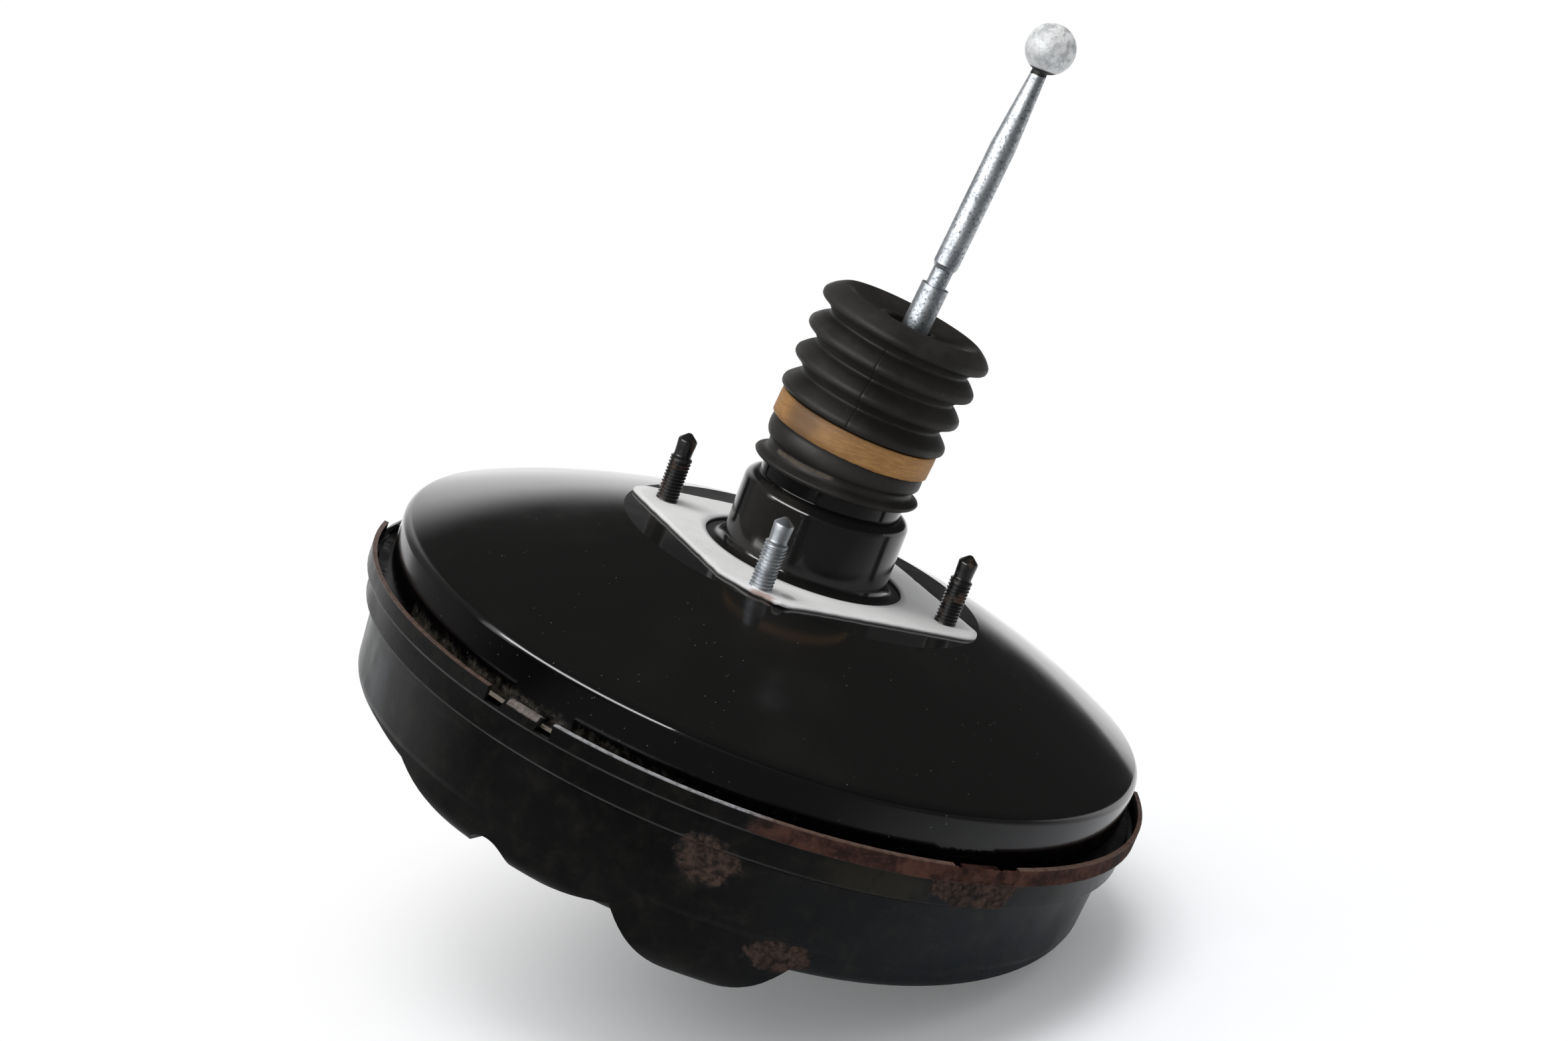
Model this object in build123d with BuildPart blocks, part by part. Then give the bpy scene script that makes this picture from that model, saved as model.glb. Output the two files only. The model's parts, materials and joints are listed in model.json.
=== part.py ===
from build123d import *
import os
from math import cos, radians, sin, sqrt, tan

# Vacuum brake booster, in millimetres.
# Z is the axis, with the pedal rod up. The origin is the centre of the gasket's outer face,
# which meets the bulkhead, and the four studs stand on a square along X and Y.

# Fits
slip = 0.15  # between pieces that are fixed together
running = 0.05  # between a guide and what slides in it
clear = 0.4  # between pieces that move past each other

# Sheet metal of both shells
sheet = 1.6

# Firewall studs and gasket
stud_spacing = 76.4
stud_diameter = 8.0
stud_shank_diameter = 8.6
stud_thread_reach = 16.0
stud_pilot_diameter = 6.4
stud_pilot_reach = 22.5
stud_tip_diameter = 1.6
stud_tip_reach = 25.4
stud_head_diameter = 14.0
stud_head_height = 3.0
stud_plate_thickness = 2.5
gasket_thickness = 1.2
gasket_corner_radius = 10.5
gasket_hole_margin = 6.3

# Rear shell
flat_margin = 1.5
neck_diameter = 60.2
neck_height = 26.0
neck_shoulder_radius = 4.0
neck_root_radius = 3.5
tube_step = 4.4
tube_length = 12.0
dome_bulge = 2.5
groove_width = 5.4  # between the skirt and the rim around it
skirt_top_drop = 26.5
skirt_edge_radius = 4.0
flange_gap = 1.8

# Front shell
rim_diameter = 286.0
rim_drop = 40.6
rim_height = 6.0
rim_step = 2.6
band_height = 8.5
band_step = 3.5
step_length = 2.0
wall_draft = 1.8
drum_depth = 45.6
drum_edge_radius = 6.5
hub_diameter = 104.0
hub_height = 17.3
hub_slope = 7.0
rib_width = 62.0
rib_end_radius = 8.0
rib_angle = -119.0
swell_gap = 0.5  # between the swell and the port's flange
swell_height = 5.8
foot_width = 90.0
foot_height = 8.6
foot_angle = -149.5
notch_width = 18.0
notch_depth = 6.5
notch_length = 26.0
notch_angle = -151.0
tab_angles = (-151, -86.5, -22, 33, 88, 142)
tab_width = 14.5
tab_slot = 6.0
tab_lean = 3.4

# Master cylinder side
pilot_diameter = 40.0
cylinder_plate_thickness = 3.0
cylinder_plate_gap = 1.4  # between the plate and the hub around it
cylinder_stud_inset = 12.0  # from the edge of the hub
cylinder_stud_diameter = 8.0
cylinder_stud_shank_diameter = 8.6
cylinder_stud_reach = 34.0
cylinder_stud_head_diameter = 13.0
cylinder_stud_head_height = 2.5
port_inset = 25.1
port_angle = 151.0
port_bore_diameter = 16.0
port_hole_diameter = 24.0
port_flange_diameter = 31.0
port_flange_height = 3.2

# Piston and its parts
tail_diameter = 38.0
tail_reach = 44.0
tail_bore_diameter = 33.0
piston_drop = 13.6
piston_hub_margin = 2.0  # of the piston's hub round the main spring's wire
piston_front_drop = 36.2
plate_thickness = 1.5
plate_flat_diameter = 88.0
roll_width = 9.0
plate_edge_drop = 27.0
plate_lip_height = 6.5
diaphragm_thickness = 1.8
bead_width = 3.2
bead_height = 7.4
inner_bead_width = 4.4
inner_bead_height = 3.4
inner_groove_depth = 1.5

# Plunger and air valve
travel = 1.5
plunger_diameter = 16.0
plunger_flange_diameter = 22.0
plunger_flange_height = 2.0
valve_seat_height = 10.0
seat_ring_diameter = 27.0
seat_ring_width = 1.4
key_thickness = 3.0
key_width = 9.0
key_top = -3.0
key_reach = 24.0
key_groove_depth = 2.7
disc_diameter = 25.6
disc_thickness = 4.0
poppet_thickness = 2.0
poppet_hole_diameter = 14.0
poppet_length = 9.0
poppet_wall = 1.2
retainer_thickness = 2.0
retainer_hole_diameter = 18.0
spring_seat_thickness = 1.0
spring_seat_diameter = 28.0
valve_spring_length = 9.0
valve_spring_diameter = 23.0
valve_spring_wire = 1.8
valve_spring_turns = 3
poppet_spring_diameter = 22.0
poppet_spring_wire = 1.4
filter_thickness = 5.5
filter_hole_diameter = 19.0

# Output side and the main spring
output_head_thickness = 3.8
output_rod_diameter = 12.0
output_rod_length = 40.0
tip_diameter = 8.0
tip_length = 15.0
cup_thickness = 1.5
cup_skirt_height = 8.0
spring_gap = 3.4  # between the spring and the stud heads
spring_wire = 4.2
spring_turns = 4.5
wire_sides = 8  # round wire drawn with a few flats

# Neck guide
seal_bottom = 2.0
seal_height = 7.0
bush_height = 8.0
bush_retainer_height = 1.6

# Rods
rod_pivot_height = 6.0
rod_lean = 4.7
lean_angle = -35.3
inner_ball_diameter = 10.0
inner_rod_diameter = 6.8
collar_diameter = 16.0
collar_height = 2.0
sleeve_diameter = 9.8
sleeve_start = 34.0
sleeve_end = 100.4
crimp_end = 108.5
crimp_diameter = 7.0
pedal_rod_diameter = 8.8
taper_start = 152.0
ball_neck_diameter = 5.4
ball_diameter = 17.0
ball_height = 187.6

# Boot
boot_wall = 2.0
boot_overlap = 7.0
boot_rise = 3.0
boot_lean = 5.3
boot_bead_step = 3.0
boot_bead_height = 4.5
cuff_wall = 1.1
base_step = 0.8
base_start = -1.0
band_start = 4.0
band_width = 9.0
band_thickness = 1.6
ridge_count = 4
ridge_pitch = 10.8
ridge_start = 15.5
ridge_height = 3.1
ridge_growth = 0.25
ridge_crest = 1.4
ridge_round = 1.3
valley_depth = 1.1
valley_flat = 1.0
boot_top = 53.0
boot_top_diameter = 50.0
boot_dish = 3.3
boot_hole_diameter = 17.2
boot_lip_width = 2.0
boot_lip_height = 0.6
boot_sleeve_length = 9.0

# Places worked out from these sizes
pad_level = -gasket_thickness
stud_radius = stud_diameter / 2
stud_shank = stud_shank_diameter / 2
stud_hole_radius = stud_shank + slip
stud_corner = stud_spacing / 2
flat_radius = stud_corner * sqrt(2) + gasket_corner_radius + flat_margin
stud_plate_top = pad_level - sheet
stud_plate_bottom = stud_plate_top - stud_plate_thickness
neck_radius = neck_diameter / 2
tube_radius = neck_radius - tube_step
tube_top = neck_height + tube_length

rim_radius = rim_diameter / 2
band_radius = rim_radius - rim_step
wall_radius = band_radius - band_step
base_radius = wall_radius - wall_draft
rim_bottom = -rim_drop - rim_height
band_bottom = rim_bottom - step_length / 2 - band_height
wall_top = band_bottom - step_length
drum_bottom = -rim_drop - drum_depth
hub_face = drum_bottom - hub_height
hub_radius = hub_diameter / 2

foot_face = drum_bottom - foot_height

flange_radius = rim_radius - sheet - flange_gap
skirt_radius = rim_radius - sheet - groove_width
flange_bottom = rim_bottom

cylinder_stud_shank = cylinder_stud_shank_diameter / 2
cylinder_stud_circle = hub_radius - cylinder_stud_inset
cylinder_plate_radius = hub_radius - sheet - cylinder_plate_gap
port_radius = base_radius - port_inset
swell_width = 2 * (port_radius - port_flange_diameter / 2 - swell_gap)
spring_diameter = 2 * (cylinder_stud_circle - spring_gap) - cylinder_stud_head_diameter - spring_wire
piston_hub_diameter = spring_diameter + 2 * piston_hub_margin
cylinder_plate_bottom = hub_face + sheet
cylinder_plate_top = cylinder_plate_bottom + cylinder_plate_thickness

tail_radius = tail_diameter / 2
tail_bore_radius = tail_bore_diameter / 2
plate_back = -piston_drop + plate_thickness
hub_front = -piston_front_drop
plunger_radius = plunger_diameter / 2
output_face = hub_front + output_head_thickness
disc_back = output_face + disc_thickness + slip
plunger_nose = disc_back + travel + clear
cup_bottom = hub_front - slip - cup_thickness

flange_low = valve_seat_height + travel + clear
flange_top = flange_low + plunger_flange_height
poppet_bottom = flange_top + clear
retainer_bottom = poppet_bottom + poppet_length
retainer_top = retainer_bottom + retainer_thickness
spring_seat_bottom = retainer_top + valve_spring_length
spring_seat_top = spring_seat_bottom + spring_seat_thickness

lean_slope = tan(radians(rod_lean))


def leaning(height, lean):
    """A plane at a height on the axis, leaning the way the rod leans."""
    turn = radians(lean_angle)
    tip = radians(lean)
    sideways = (cos(tip) * cos(turn), cos(tip) * sin(turn), -sin(tip))
    upward = (sin(tip) * cos(turn), sin(tip) * sin(turn), cos(tip))
    return Plane(origin=(0, 0, height), x_dir=sideways, z_dir=upward)


def turned(*outline):
    """A solid of revolution about Z from an outline of (radius, height) points."""
    with BuildPart() as piece:
        with BuildSketch(Plane.XZ):
            with BuildLine():
                Polyline(*outline, close=True)
            make_face()
        revolve(axis=Axis.Z)
    return piece


def ring(inner_radius, outer_radius, bottom, top):
    """A plain ring about Z."""
    return turned(
        (inner_radius, bottom),
        (outer_radius, bottom),
        (outer_radius, top),
        (inner_radius, top),
    )


def coil(diameter, wire, bottom, top, turns):
    """A coil spring about Z, its outer surface reaching from bottom to top."""
    rise = top - bottom - wire
    with BuildPart() as piece:
        with BuildLine():
            path = Helix(rise / turns, rise, diameter / 2, center=(0, 0, bottom + wire / 2))
        with BuildSketch(Plane(origin=path @ 0, z_dir=path % 0)):
            RegularPolygon(wire / 2, wire_sides)
        sweep(is_frenet=True)
    return piece


def near(vertices, radius, height):
    """The vertex of a profile sketch that lies at a radius and a height."""
    return vertices.sort_by_distance((radius, height, 0))[0]


pieces = {}


# Rear shell: an outer form less an inner form, one sheet apart
def rear_form(inset):
    tube = tube_radius - inset
    neck = neck_radius - inset
    shoulder = neck_height - inset
    pad = pad_level - inset
    skirt = skirt_radius - inset
    skirt_top = -skirt_top_drop - inset
    dome_middle = ((flat_radius + skirt) / 2, (pad + skirt_top) / 2 + dome_bulge)
    top = tube_top + inset
    with BuildPart() as form:
        with BuildSketch(Plane.XZ) as outline:
            with BuildLine():
                Polyline((0, flange_bottom - inset), (0, top), (tube, top), (tube, shoulder))
                Polyline((tube, shoulder), (neck, shoulder), (neck, pad), (flat_radius, pad))
                ThreePointArc((flat_radius, pad), dome_middle, (skirt, skirt_top))
                Polyline((skirt, skirt_top), (skirt, flange_bottom - inset), (0, flange_bottom - inset))
            make_face()
            fillet(near(outline.vertices(), neck, shoulder), neck_shoulder_radius - inset)
            fillet(near(outline.vertices(), neck, pad), neck_root_radius)
            fillet(near(outline.vertices(), skirt, skirt_top), skirt_edge_radius - inset)
        revolve(axis=Axis.Z)
    return form


with BuildPart() as rear_shell:
    add(rear_form(0))
    with Locations((0, 0, flange_bottom)):
        Cylinder(flange_radius, sheet, align=(Align.CENTER, Align.CENTER, Align.MIN))
    add(rear_form(sheet), mode=Mode.SUBTRACT)
    with GridLocations(stud_spacing, stud_spacing, 2, 2):
        with Locations((0, 0, pad_level)):
            Cylinder(stud_hole_radius, 4 * sheet, mode=Mode.SUBTRACT)
pieces["rear_shell"] = rear_shell


# Front shell: a drum with a hub, a rounded rib on a low swell and a notched foot, formed the same way
def rib_form(inset, width, height, angle, both):
    """A rounded rib across the drum's face, from the middle out to the wall."""
    base = base_radius - inset
    face = drum_bottom - height + inset
    bend = (width**2 / 4 + height**2) / (2 * height)
    with BuildPart() as rib:
        with BuildSketch(Plane.XZ) as deep:
            with BuildLine():
                Polyline((0, wall_top), (base, wall_top), (base, face), (0, face), close=True)
            make_face()
            fillet(near(deep.vertices(), base, face), rib_end_radius - inset)
        revolve(axis=Axis.Z)
        with BuildSketch(Plane.YZ.rotated((0, 0, angle))):
            with Locations((0, drum_bottom - height + bend)):
                Circle(bend - inset)
        extrude(amount=rim_radius, both=both, mode=Mode.INTERSECT)
    return rib


def front_form(inset):
    rim = rim_radius - inset
    band = band_radius - inset
    wall = wall_radius - inset
    base = base_radius - inset
    hub = hub_radius - inset / 2
    bottom = drum_bottom + inset
    face = hub_face + inset
    top = -rim_drop + inset
    band_top = rim_bottom - step_length / 2
    notch_bend = (notch_width**2 / 4 + notch_depth**2) / (2 * notch_depth)
    with BuildPart() as form:
        with BuildSketch(Plane.XZ) as outline:
            with BuildLine():
                Polyline((0, top), (rim, top), (rim, rim_bottom), (band, band_top), (band, band_bottom))
                Polyline((band, band_bottom), (wall, wall_top), (base, bottom), (hub + hub_slope, bottom))
                Polyline((hub + hub_slope, bottom), (hub, face), (0, face), (0, top))
            make_face()
            fillet(near(outline.vertices(), base, bottom), drum_edge_radius - inset)
        revolve(axis=Axis.Z)
        add(rib_form(inset, swell_width, swell_height, rib_angle, True))
        add(rib_form(inset, rib_width, hub_height, rib_angle, True))
        add(rib_form(inset, foot_width, foot_height, foot_angle, False))
        with BuildSketch(Plane.YZ.rotated((0, 0, notch_angle)).offset(base_radius - notch_length)):
            with Locations((0, foot_face + notch_depth - notch_bend)):
                Circle(notch_bend + inset)
        extrude(amount=2 * notch_length, mode=Mode.SUBTRACT)
    return form


tab_turns = [Rotation(0, 0, angle) for angle in tab_angles]
tab_face = sqrt(rim_radius**2 - (tab_width / 2) ** 2)  # flat tabs stay inside the round rim
with BuildPart() as crimp_tab:
    with BuildSketch(Plane.XZ):
        with BuildLine():
            Polyline(
                (tab_face, rim_bottom),
                (tab_face, rim_bottom + sheet / 2),
                (tab_face - tab_lean, -rim_drop - sheet),
                (tab_face - tab_lean - sheet, -rim_drop - sheet),
                (tab_face - sheet, rim_bottom),
                close=True,
            )
        make_face()
    extrude(amount=tab_width / 2, both=True)

with BuildPart() as front_shell:
    add(front_form(0))
    add(front_form(sheet), mode=Mode.SUBTRACT)
    window_height = rim_height + 2 * sheet
    with Locations(*tab_turns):
        with Locations((rim_radius - sheet / 2, 0, rim_bottom + window_height / 2 + sheet / 2)):
            Box(3 * sheet, tab_width + 2 * tab_slot, window_height, mode=Mode.SUBTRACT)
    with Locations(*tab_turns):
        add(crimp_tab)
    with Locations((0, 0, hub_face)):
        Cylinder(pilot_diameter / 2, 4 * sheet, mode=Mode.SUBTRACT)
    with PolarLocations(cylinder_stud_circle, 2, rib_angle):
        with Locations((0, 0, hub_face)):
            Cylinder(cylinder_stud_shank + slip, 4 * sheet, mode=Mode.SUBTRACT)
    with PolarLocations(port_radius, 1, port_angle):
        with Locations((0, 0, drum_bottom)):
            Cylinder(port_hole_diameter / 2, 4 * sheet, mode=Mode.SUBTRACT)
pieces["front_shell"] = front_shell


# Gasket and the plate behind it
def square_ring(corner_radius, hole_radius, bottom, thickness, stud_hole):
    side = stud_spacing + 2 * corner_radius
    with BuildPart() as piece:
        with BuildSketch(Plane.XY.offset(bottom)):
            RectangleRounded(side, side, corner_radius)
            Circle(hole_radius, mode=Mode.SUBTRACT)
            with GridLocations(stud_spacing, stud_spacing, 2, 2):
                Circle(stud_hole, mode=Mode.SUBTRACT)
        extrude(amount=thickness)
    return piece


pieces["firewall_gasket"] = square_ring(
    gasket_corner_radius, neck_radius + gasket_hole_margin, pad_level, gasket_thickness, stud_hole_radius
)
pieces["stud_plate"] = square_ring(
    gasket_corner_radius - flat_margin,
    neck_radius,
    stud_plate_bottom,
    stud_plate_thickness,
    stud_hole_radius,
)

# Firewall studs, the bright one apart from the three black ones
stud = turned(
    (0, stud_plate_bottom - stud_head_height),
    (stud_head_diameter / 2, stud_plate_bottom - stud_head_height),
    (stud_head_diameter / 2, stud_plate_bottom),
    (stud_shank, stud_plate_bottom),
    (stud_shank, 0),
    (stud_radius, 0),
    (stud_radius, stud_thread_reach),
    (stud_pilot_diameter / 2, stud_thread_reach + (stud_diameter - stud_pilot_diameter) / 2),
    (stud_pilot_diameter / 2, stud_pilot_reach),
    (stud_tip_diameter / 2, stud_tip_reach),
    (0, stud_tip_reach),
)
with BuildPart() as firewall_studs:
    with Locations((stud_corner, stud_corner), (-stud_corner, stud_corner), (stud_corner, -stud_corner)):
        add(stud)
pieces["firewall_studs"] = firewall_studs
with BuildPart() as bright_firewall_stud:
    with Locations((-stud_corner, -stud_corner)):
        add(stud)
pieces["bright_firewall_stud"] = bright_firewall_stud

# Master cylinder plate and studs
with BuildPart() as master_cylinder_plate:
    with BuildSketch(Plane.XY.offset(cylinder_plate_bottom)):
        Circle(cylinder_plate_radius)
        Circle(pilot_diameter / 2, mode=Mode.SUBTRACT)
        with PolarLocations(cylinder_stud_circle, 2, rib_angle):
            Circle(cylinder_stud_shank + slip, mode=Mode.SUBTRACT)
    extrude(amount=cylinder_plate_thickness)
pieces["master_cylinder_plate"] = master_cylinder_plate

cylinder_stud_end = hub_face - cylinder_stud_reach
cylinder_stud = turned(
    (0, cylinder_plate_top + cylinder_stud_head_height),
    (cylinder_stud_head_diameter / 2, cylinder_plate_top + cylinder_stud_head_height),
    (cylinder_stud_head_diameter / 2, cylinder_plate_top),
    (cylinder_stud_shank, cylinder_plate_top),
    (cylinder_stud_shank, hub_face),
    (cylinder_stud_diameter / 2, hub_face),
    (cylinder_stud_diameter / 2, cylinder_stud_end + sheet),
    (cylinder_stud_diameter / 2 - sheet, cylinder_stud_end),
    (0, cylinder_stud_end),
)
with BuildPart() as master_cylinder_studs:
    with PolarLocations(cylinder_stud_circle, 2, rib_angle):
        add(cylinder_stud)
pieces["master_cylinder_studs"] = master_cylinder_studs

# Vacuum grommet, gripping the edge of its hole
port_bore = port_bore_diameter / 2
port_waist = port_hole_diameter / 2 - slip
port_flange = port_flange_diameter / 2
port_outer = drum_bottom - slip
port_inner = drum_bottom + sheet + slip
grommet = turned(
    (port_bore, port_outer - port_flange_height),
    (port_flange, port_outer - port_flange_height),
    (port_flange, port_outer),
    (port_waist, port_outer),
    (port_waist, port_inner),
    (port_flange - slip, port_inner),
    (port_waist, port_inner + port_flange_height),
    (port_bore, port_inner + port_flange_height),
)
with BuildPart() as vacuum_grommet:
    with PolarLocations(port_radius, 1, port_angle):
        add(grommet)
pieces["vacuum_grommet"] = vacuum_grommet

# Seal, bush and retainer inside the neck
neck_inside = neck_radius - sheet - slip
bush_bottom = seal_bottom + seal_height + slip
bush_top = bush_bottom + bush_height
lip_depth = seal_height / 3
pieces["neck_seal"] = turned(
    (tail_radius + clear, seal_bottom),
    (neck_inside, seal_bottom),
    (neck_inside, seal_bottom + seal_height),
    (tail_radius + lip_depth, seal_bottom + seal_height),
    (tail_radius + lip_depth, seal_bottom + lip_depth),
    (tail_radius + clear, seal_bottom + lip_depth),
)
pieces["neck_bush"] = ring(tail_radius + running, neck_inside, bush_bottom, bush_top)
pieces["bush_retainer"] = ring(
    tail_radius + lip_depth, neck_inside, bush_top + slip, bush_top + slip + bush_retainer_height
)

# Valve body: a hub with a bore for the reaction disc, and a long tail
groove_top = plate_back + inner_bead_height + 2 * slip
valve_body = turned(
    (plunger_radius + running, valve_seat_height),
    (seat_ring_diameter / 2 - seat_ring_width, valve_seat_height),
    (seat_ring_diameter / 2 - seat_ring_width, poppet_bottom - clear),
    (seat_ring_diameter / 2, poppet_bottom - clear),
    (seat_ring_diameter / 2, valve_seat_height),
    (tail_bore_radius, valve_seat_height),
    (tail_bore_radius, tail_reach),
    (tail_radius, tail_reach),
    (tail_radius, groove_top),
    (tail_radius - inner_groove_depth, groove_top),
    (tail_radius - inner_groove_depth, plate_back),
    (tail_radius, plate_back),
    (tail_radius, -piston_drop),
    (piston_hub_diameter / 2, -piston_drop),
    (piston_hub_diameter / 2, hub_front),
    (disc_diameter / 2 + slip, hub_front),
    (disc_diameter / 2 + slip, disc_back),
    (plunger_radius + running, disc_back),
)
with BuildPart() as slotted_body:
    add(valve_body)
    with Locations((0, 0, key_top + slip)):
        Box(
            2 * key_reach,
            key_width + 2 * slip,
            key_thickness + 2 * slip,
            align=(Align.MIN, Align.CENTER, Align.MAX),
            mode=Mode.SUBTRACT,
        )
pieces["valve_body"] = slotted_body

# Diaphragm plate, and the diaphragm from its inner bead to the bead between the shells
skirt_inside = skirt_radius - sheet - clear
plate_radius = skirt_inside - 2 * roll_width
plate_flat = plate_flat_diameter / 2
pieces["diaphragm_plate"] = turned(
    (tail_radius + slip, -piston_drop),
    (plate_flat, -piston_drop),
    (plate_radius - plate_thickness, -plate_edge_drop - plate_thickness),
    (plate_radius - plate_thickness, -plate_edge_drop - plate_lip_height),
    (plate_radius, -plate_edge_drop - plate_lip_height),
    (plate_radius, -plate_edge_drop),
    (plate_flat, plate_back),
    (tail_radius + slip, plate_back),
)
bead_outer = band_radius - sheet - slip
bead_top = flange_bottom - slip
web_top = bead_top - sheet
sheet_lift = plate_back + slip
sheet_edge = -plate_edge_drop + slip
roll_middle = skirt_inside - roll_width
roll_top = sheet_edge - roll_width / 2
roll_end = sheet_edge - 2 * roll_width
with BuildPart() as diaphragm:
    with BuildSketch(Plane.XZ):
        with BuildLine():
            Polyline(
                (plate_radius, sheet_edge),
                (plate_flat, sheet_lift),
                (tail_radius - inner_groove_depth + slip, sheet_lift),
                (tail_radius - inner_groove_depth + slip, sheet_lift + inner_bead_height),
                (tail_radius + inner_bead_width, sheet_lift + inner_bead_height),
                (tail_radius + inner_bead_width, sheet_lift + diaphragm_thickness),
                (plate_flat, sheet_lift + diaphragm_thickness),
                (plate_radius, sheet_edge + diaphragm_thickness),
            )
            Line((plate_radius, sheet_edge + diaphragm_thickness), (roll_middle, roll_top))
            Polyline(
                (roll_middle, roll_top),
                (skirt_inside, roll_end),
                (skirt_inside, web_top),
                (bead_outer - bead_width, web_top),
                (bead_outer - bead_width, bead_top),
                (bead_outer, bead_top),
                (bead_outer, bead_top - bead_height),
                (bead_outer - bead_width, bead_top - bead_height),
                (bead_outer - bead_width, web_top - diaphragm_thickness),
                (skirt_inside - diaphragm_thickness, web_top - diaphragm_thickness),
                (skirt_inside - diaphragm_thickness, roll_end),
                (roll_middle - diaphragm_thickness, roll_top - diaphragm_thickness),
                (plate_radius, sheet_edge),
            )
        make_face()
    revolve(axis=Axis.Z)
pieces["diaphragm"] = diaphragm

# Reaction disc, output rod and the cup that keeps its head in the hub
output_end = hub_front - output_rod_length
head_radius = disc_diameter / 2
pieces["reaction_disc"] = turned(
    (0, output_face + slip / 2),
    (head_radius, output_face + slip / 2),
    (head_radius, disc_back - slip / 2),
    (0, disc_back - slip / 2),
)
pieces["output_rod"] = turned(
    (0, output_face),
    (head_radius, output_face),
    (head_radius, hub_front),
    (output_rod_diameter / 2, hub_front),
    (output_rod_diameter / 2, output_end),
    (tip_diameter / 2, output_end),
    (tip_diameter / 2, output_end + tip_length / 2),
    (0, output_end + tip_length / 2),
)
tip_screw = tip_diameter / 2 - slip
tip_head = output_rod_diameter / 2 - slip
tip_end = output_end - tip_length
pieces["adjusting_tip"] = turned(
    (0, output_end + tip_length / 2 - slip),
    (tip_screw, output_end + tip_length / 2 - slip),
    (tip_screw, output_end - slip),
    (tip_head, output_end - slip),
    (tip_head, tip_end + tip_length / 3),
    (tip_screw, tip_end + tip_length / 6),
    (tip_screw / 2, tip_end),
    (0, tip_end),
)
cup_inside = piston_hub_diameter / 2 + slip
pieces["rod_retainer"] = turned(
    (output_rod_diameter / 2 + clear, cup_bottom),
    (cup_inside + cup_thickness, cup_bottom),
    (cup_inside + cup_thickness, hub_front + cup_skirt_height),
    (cup_inside, hub_front + cup_skirt_height),
    (cup_inside, hub_front - slip),
    (output_rod_diameter / 2 + clear, hub_front - slip),
)
pieces["return_spring"] = coil(
    spring_diameter, spring_wire, cylinder_plate_top + slip, cup_bottom - slip, spring_turns
)

# Plunger with a socket for the rod's inner ball and a groove for the key
socket_radius = inner_ball_diameter / 2 + clear
mouth_reach = flange_top - rod_pivot_height
mouth_radius = inner_rod_diameter / 2 + mouth_reach * lean_slope + clear
groove_low = key_top - key_thickness - travel - clear
groove_high = key_top + travel + clear
groove_radius = plunger_radius - key_groove_depth
socket_rim = sqrt(socket_radius**2 - mouth_radius**2)
with BuildPart() as valve_plunger:
    with BuildSketch(Plane.XZ):
        with BuildLine():
            Polyline(
                (0, rod_pivot_height - socket_radius),
                (0, plunger_nose),
                (plunger_radius, plunger_nose),
                (plunger_radius, groove_low),
                (groove_radius, groove_low),
                (groove_radius, groove_high),
                (plunger_radius, groove_high),
                (plunger_radius, flange_low),
                (plunger_flange_diameter / 2, flange_low),
                (plunger_flange_diameter / 2, flange_top),
                (mouth_radius, flange_top),
                (mouth_radius, rod_pivot_height + socket_rim),
            )
            ThreePointArc(
                (mouth_radius, rod_pivot_height + socket_rim),
                (socket_radius, rod_pivot_height),
                (0, rod_pivot_height - socket_radius),
            )
        make_face()
    revolve(axis=Axis.Z)
pieces["valve_plunger"] = valve_plunger

with BuildPart() as stop_key:
    with Locations((0, 0, key_top)):
        Box(key_reach, key_width, key_thickness, align=(Align.MIN, Align.CENTER, Align.MAX))
        Cylinder(groove_radius + clear, 4 * key_thickness, mode=Mode.SUBTRACT)
pieces["stop_key"] = stop_key

# Poppet valve with its spring and retainer, the rod's spring and the filter
poppet_outer = tail_bore_radius - slip
poppet_inner = poppet_outer - poppet_wall
poppet_top = poppet_bottom + poppet_thickness
pieces["poppet_valve"] = turned(
    (poppet_hole_diameter / 2, poppet_bottom),
    (poppet_outer, poppet_bottom),
    (poppet_outer, retainer_bottom - slip),
    (poppet_inner, retainer_bottom - slip),
    (poppet_inner, poppet_top),
    (poppet_hole_diameter / 2, poppet_top),
)
pieces["poppet_spring"] = coil(
    poppet_spring_diameter,
    poppet_spring_wire,
    poppet_top + slip,
    retainer_bottom - slip,
    valve_spring_turns,
)
pieces["poppet_retainer"] = ring(
    retainer_hole_diameter / 2, poppet_outer, retainer_bottom, retainer_top
)
pieces["rod_return_spring"] = coil(
    valve_spring_diameter,
    valve_spring_wire,
    retainer_top + slip,
    spring_seat_bottom - slip,
    valve_spring_turns,
)
seat_swing = (spring_seat_top - rod_pivot_height) * lean_slope
pieces["spring_seat"] = ring(
    inner_rod_diameter / 2 + seat_swing + clear,
    spring_seat_diameter / 2,
    spring_seat_bottom,
    spring_seat_top,
)
pieces["air_filter"] = ring(
    filter_hole_diameter / 2, tail_bore_radius - slip, tail_reach - filter_thickness, tail_reach
)

# Rods, drawn upright from the centre of the inner ball and then leaned
collar_rise = collar_diameter / 2 * sin(radians(rod_lean)) + clear
collar_bottom = (spring_seat_top - rod_pivot_height + collar_rise) / cos(radians(rod_lean))
inner_rod = inner_rod_diameter / 2
ball_contact = sqrt((inner_ball_diameter / 2) ** 2 - inner_rod**2)
sleeve_inside = inner_rod + slip
rod_plane = leaning(rod_pivot_height, rod_lean)

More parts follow.
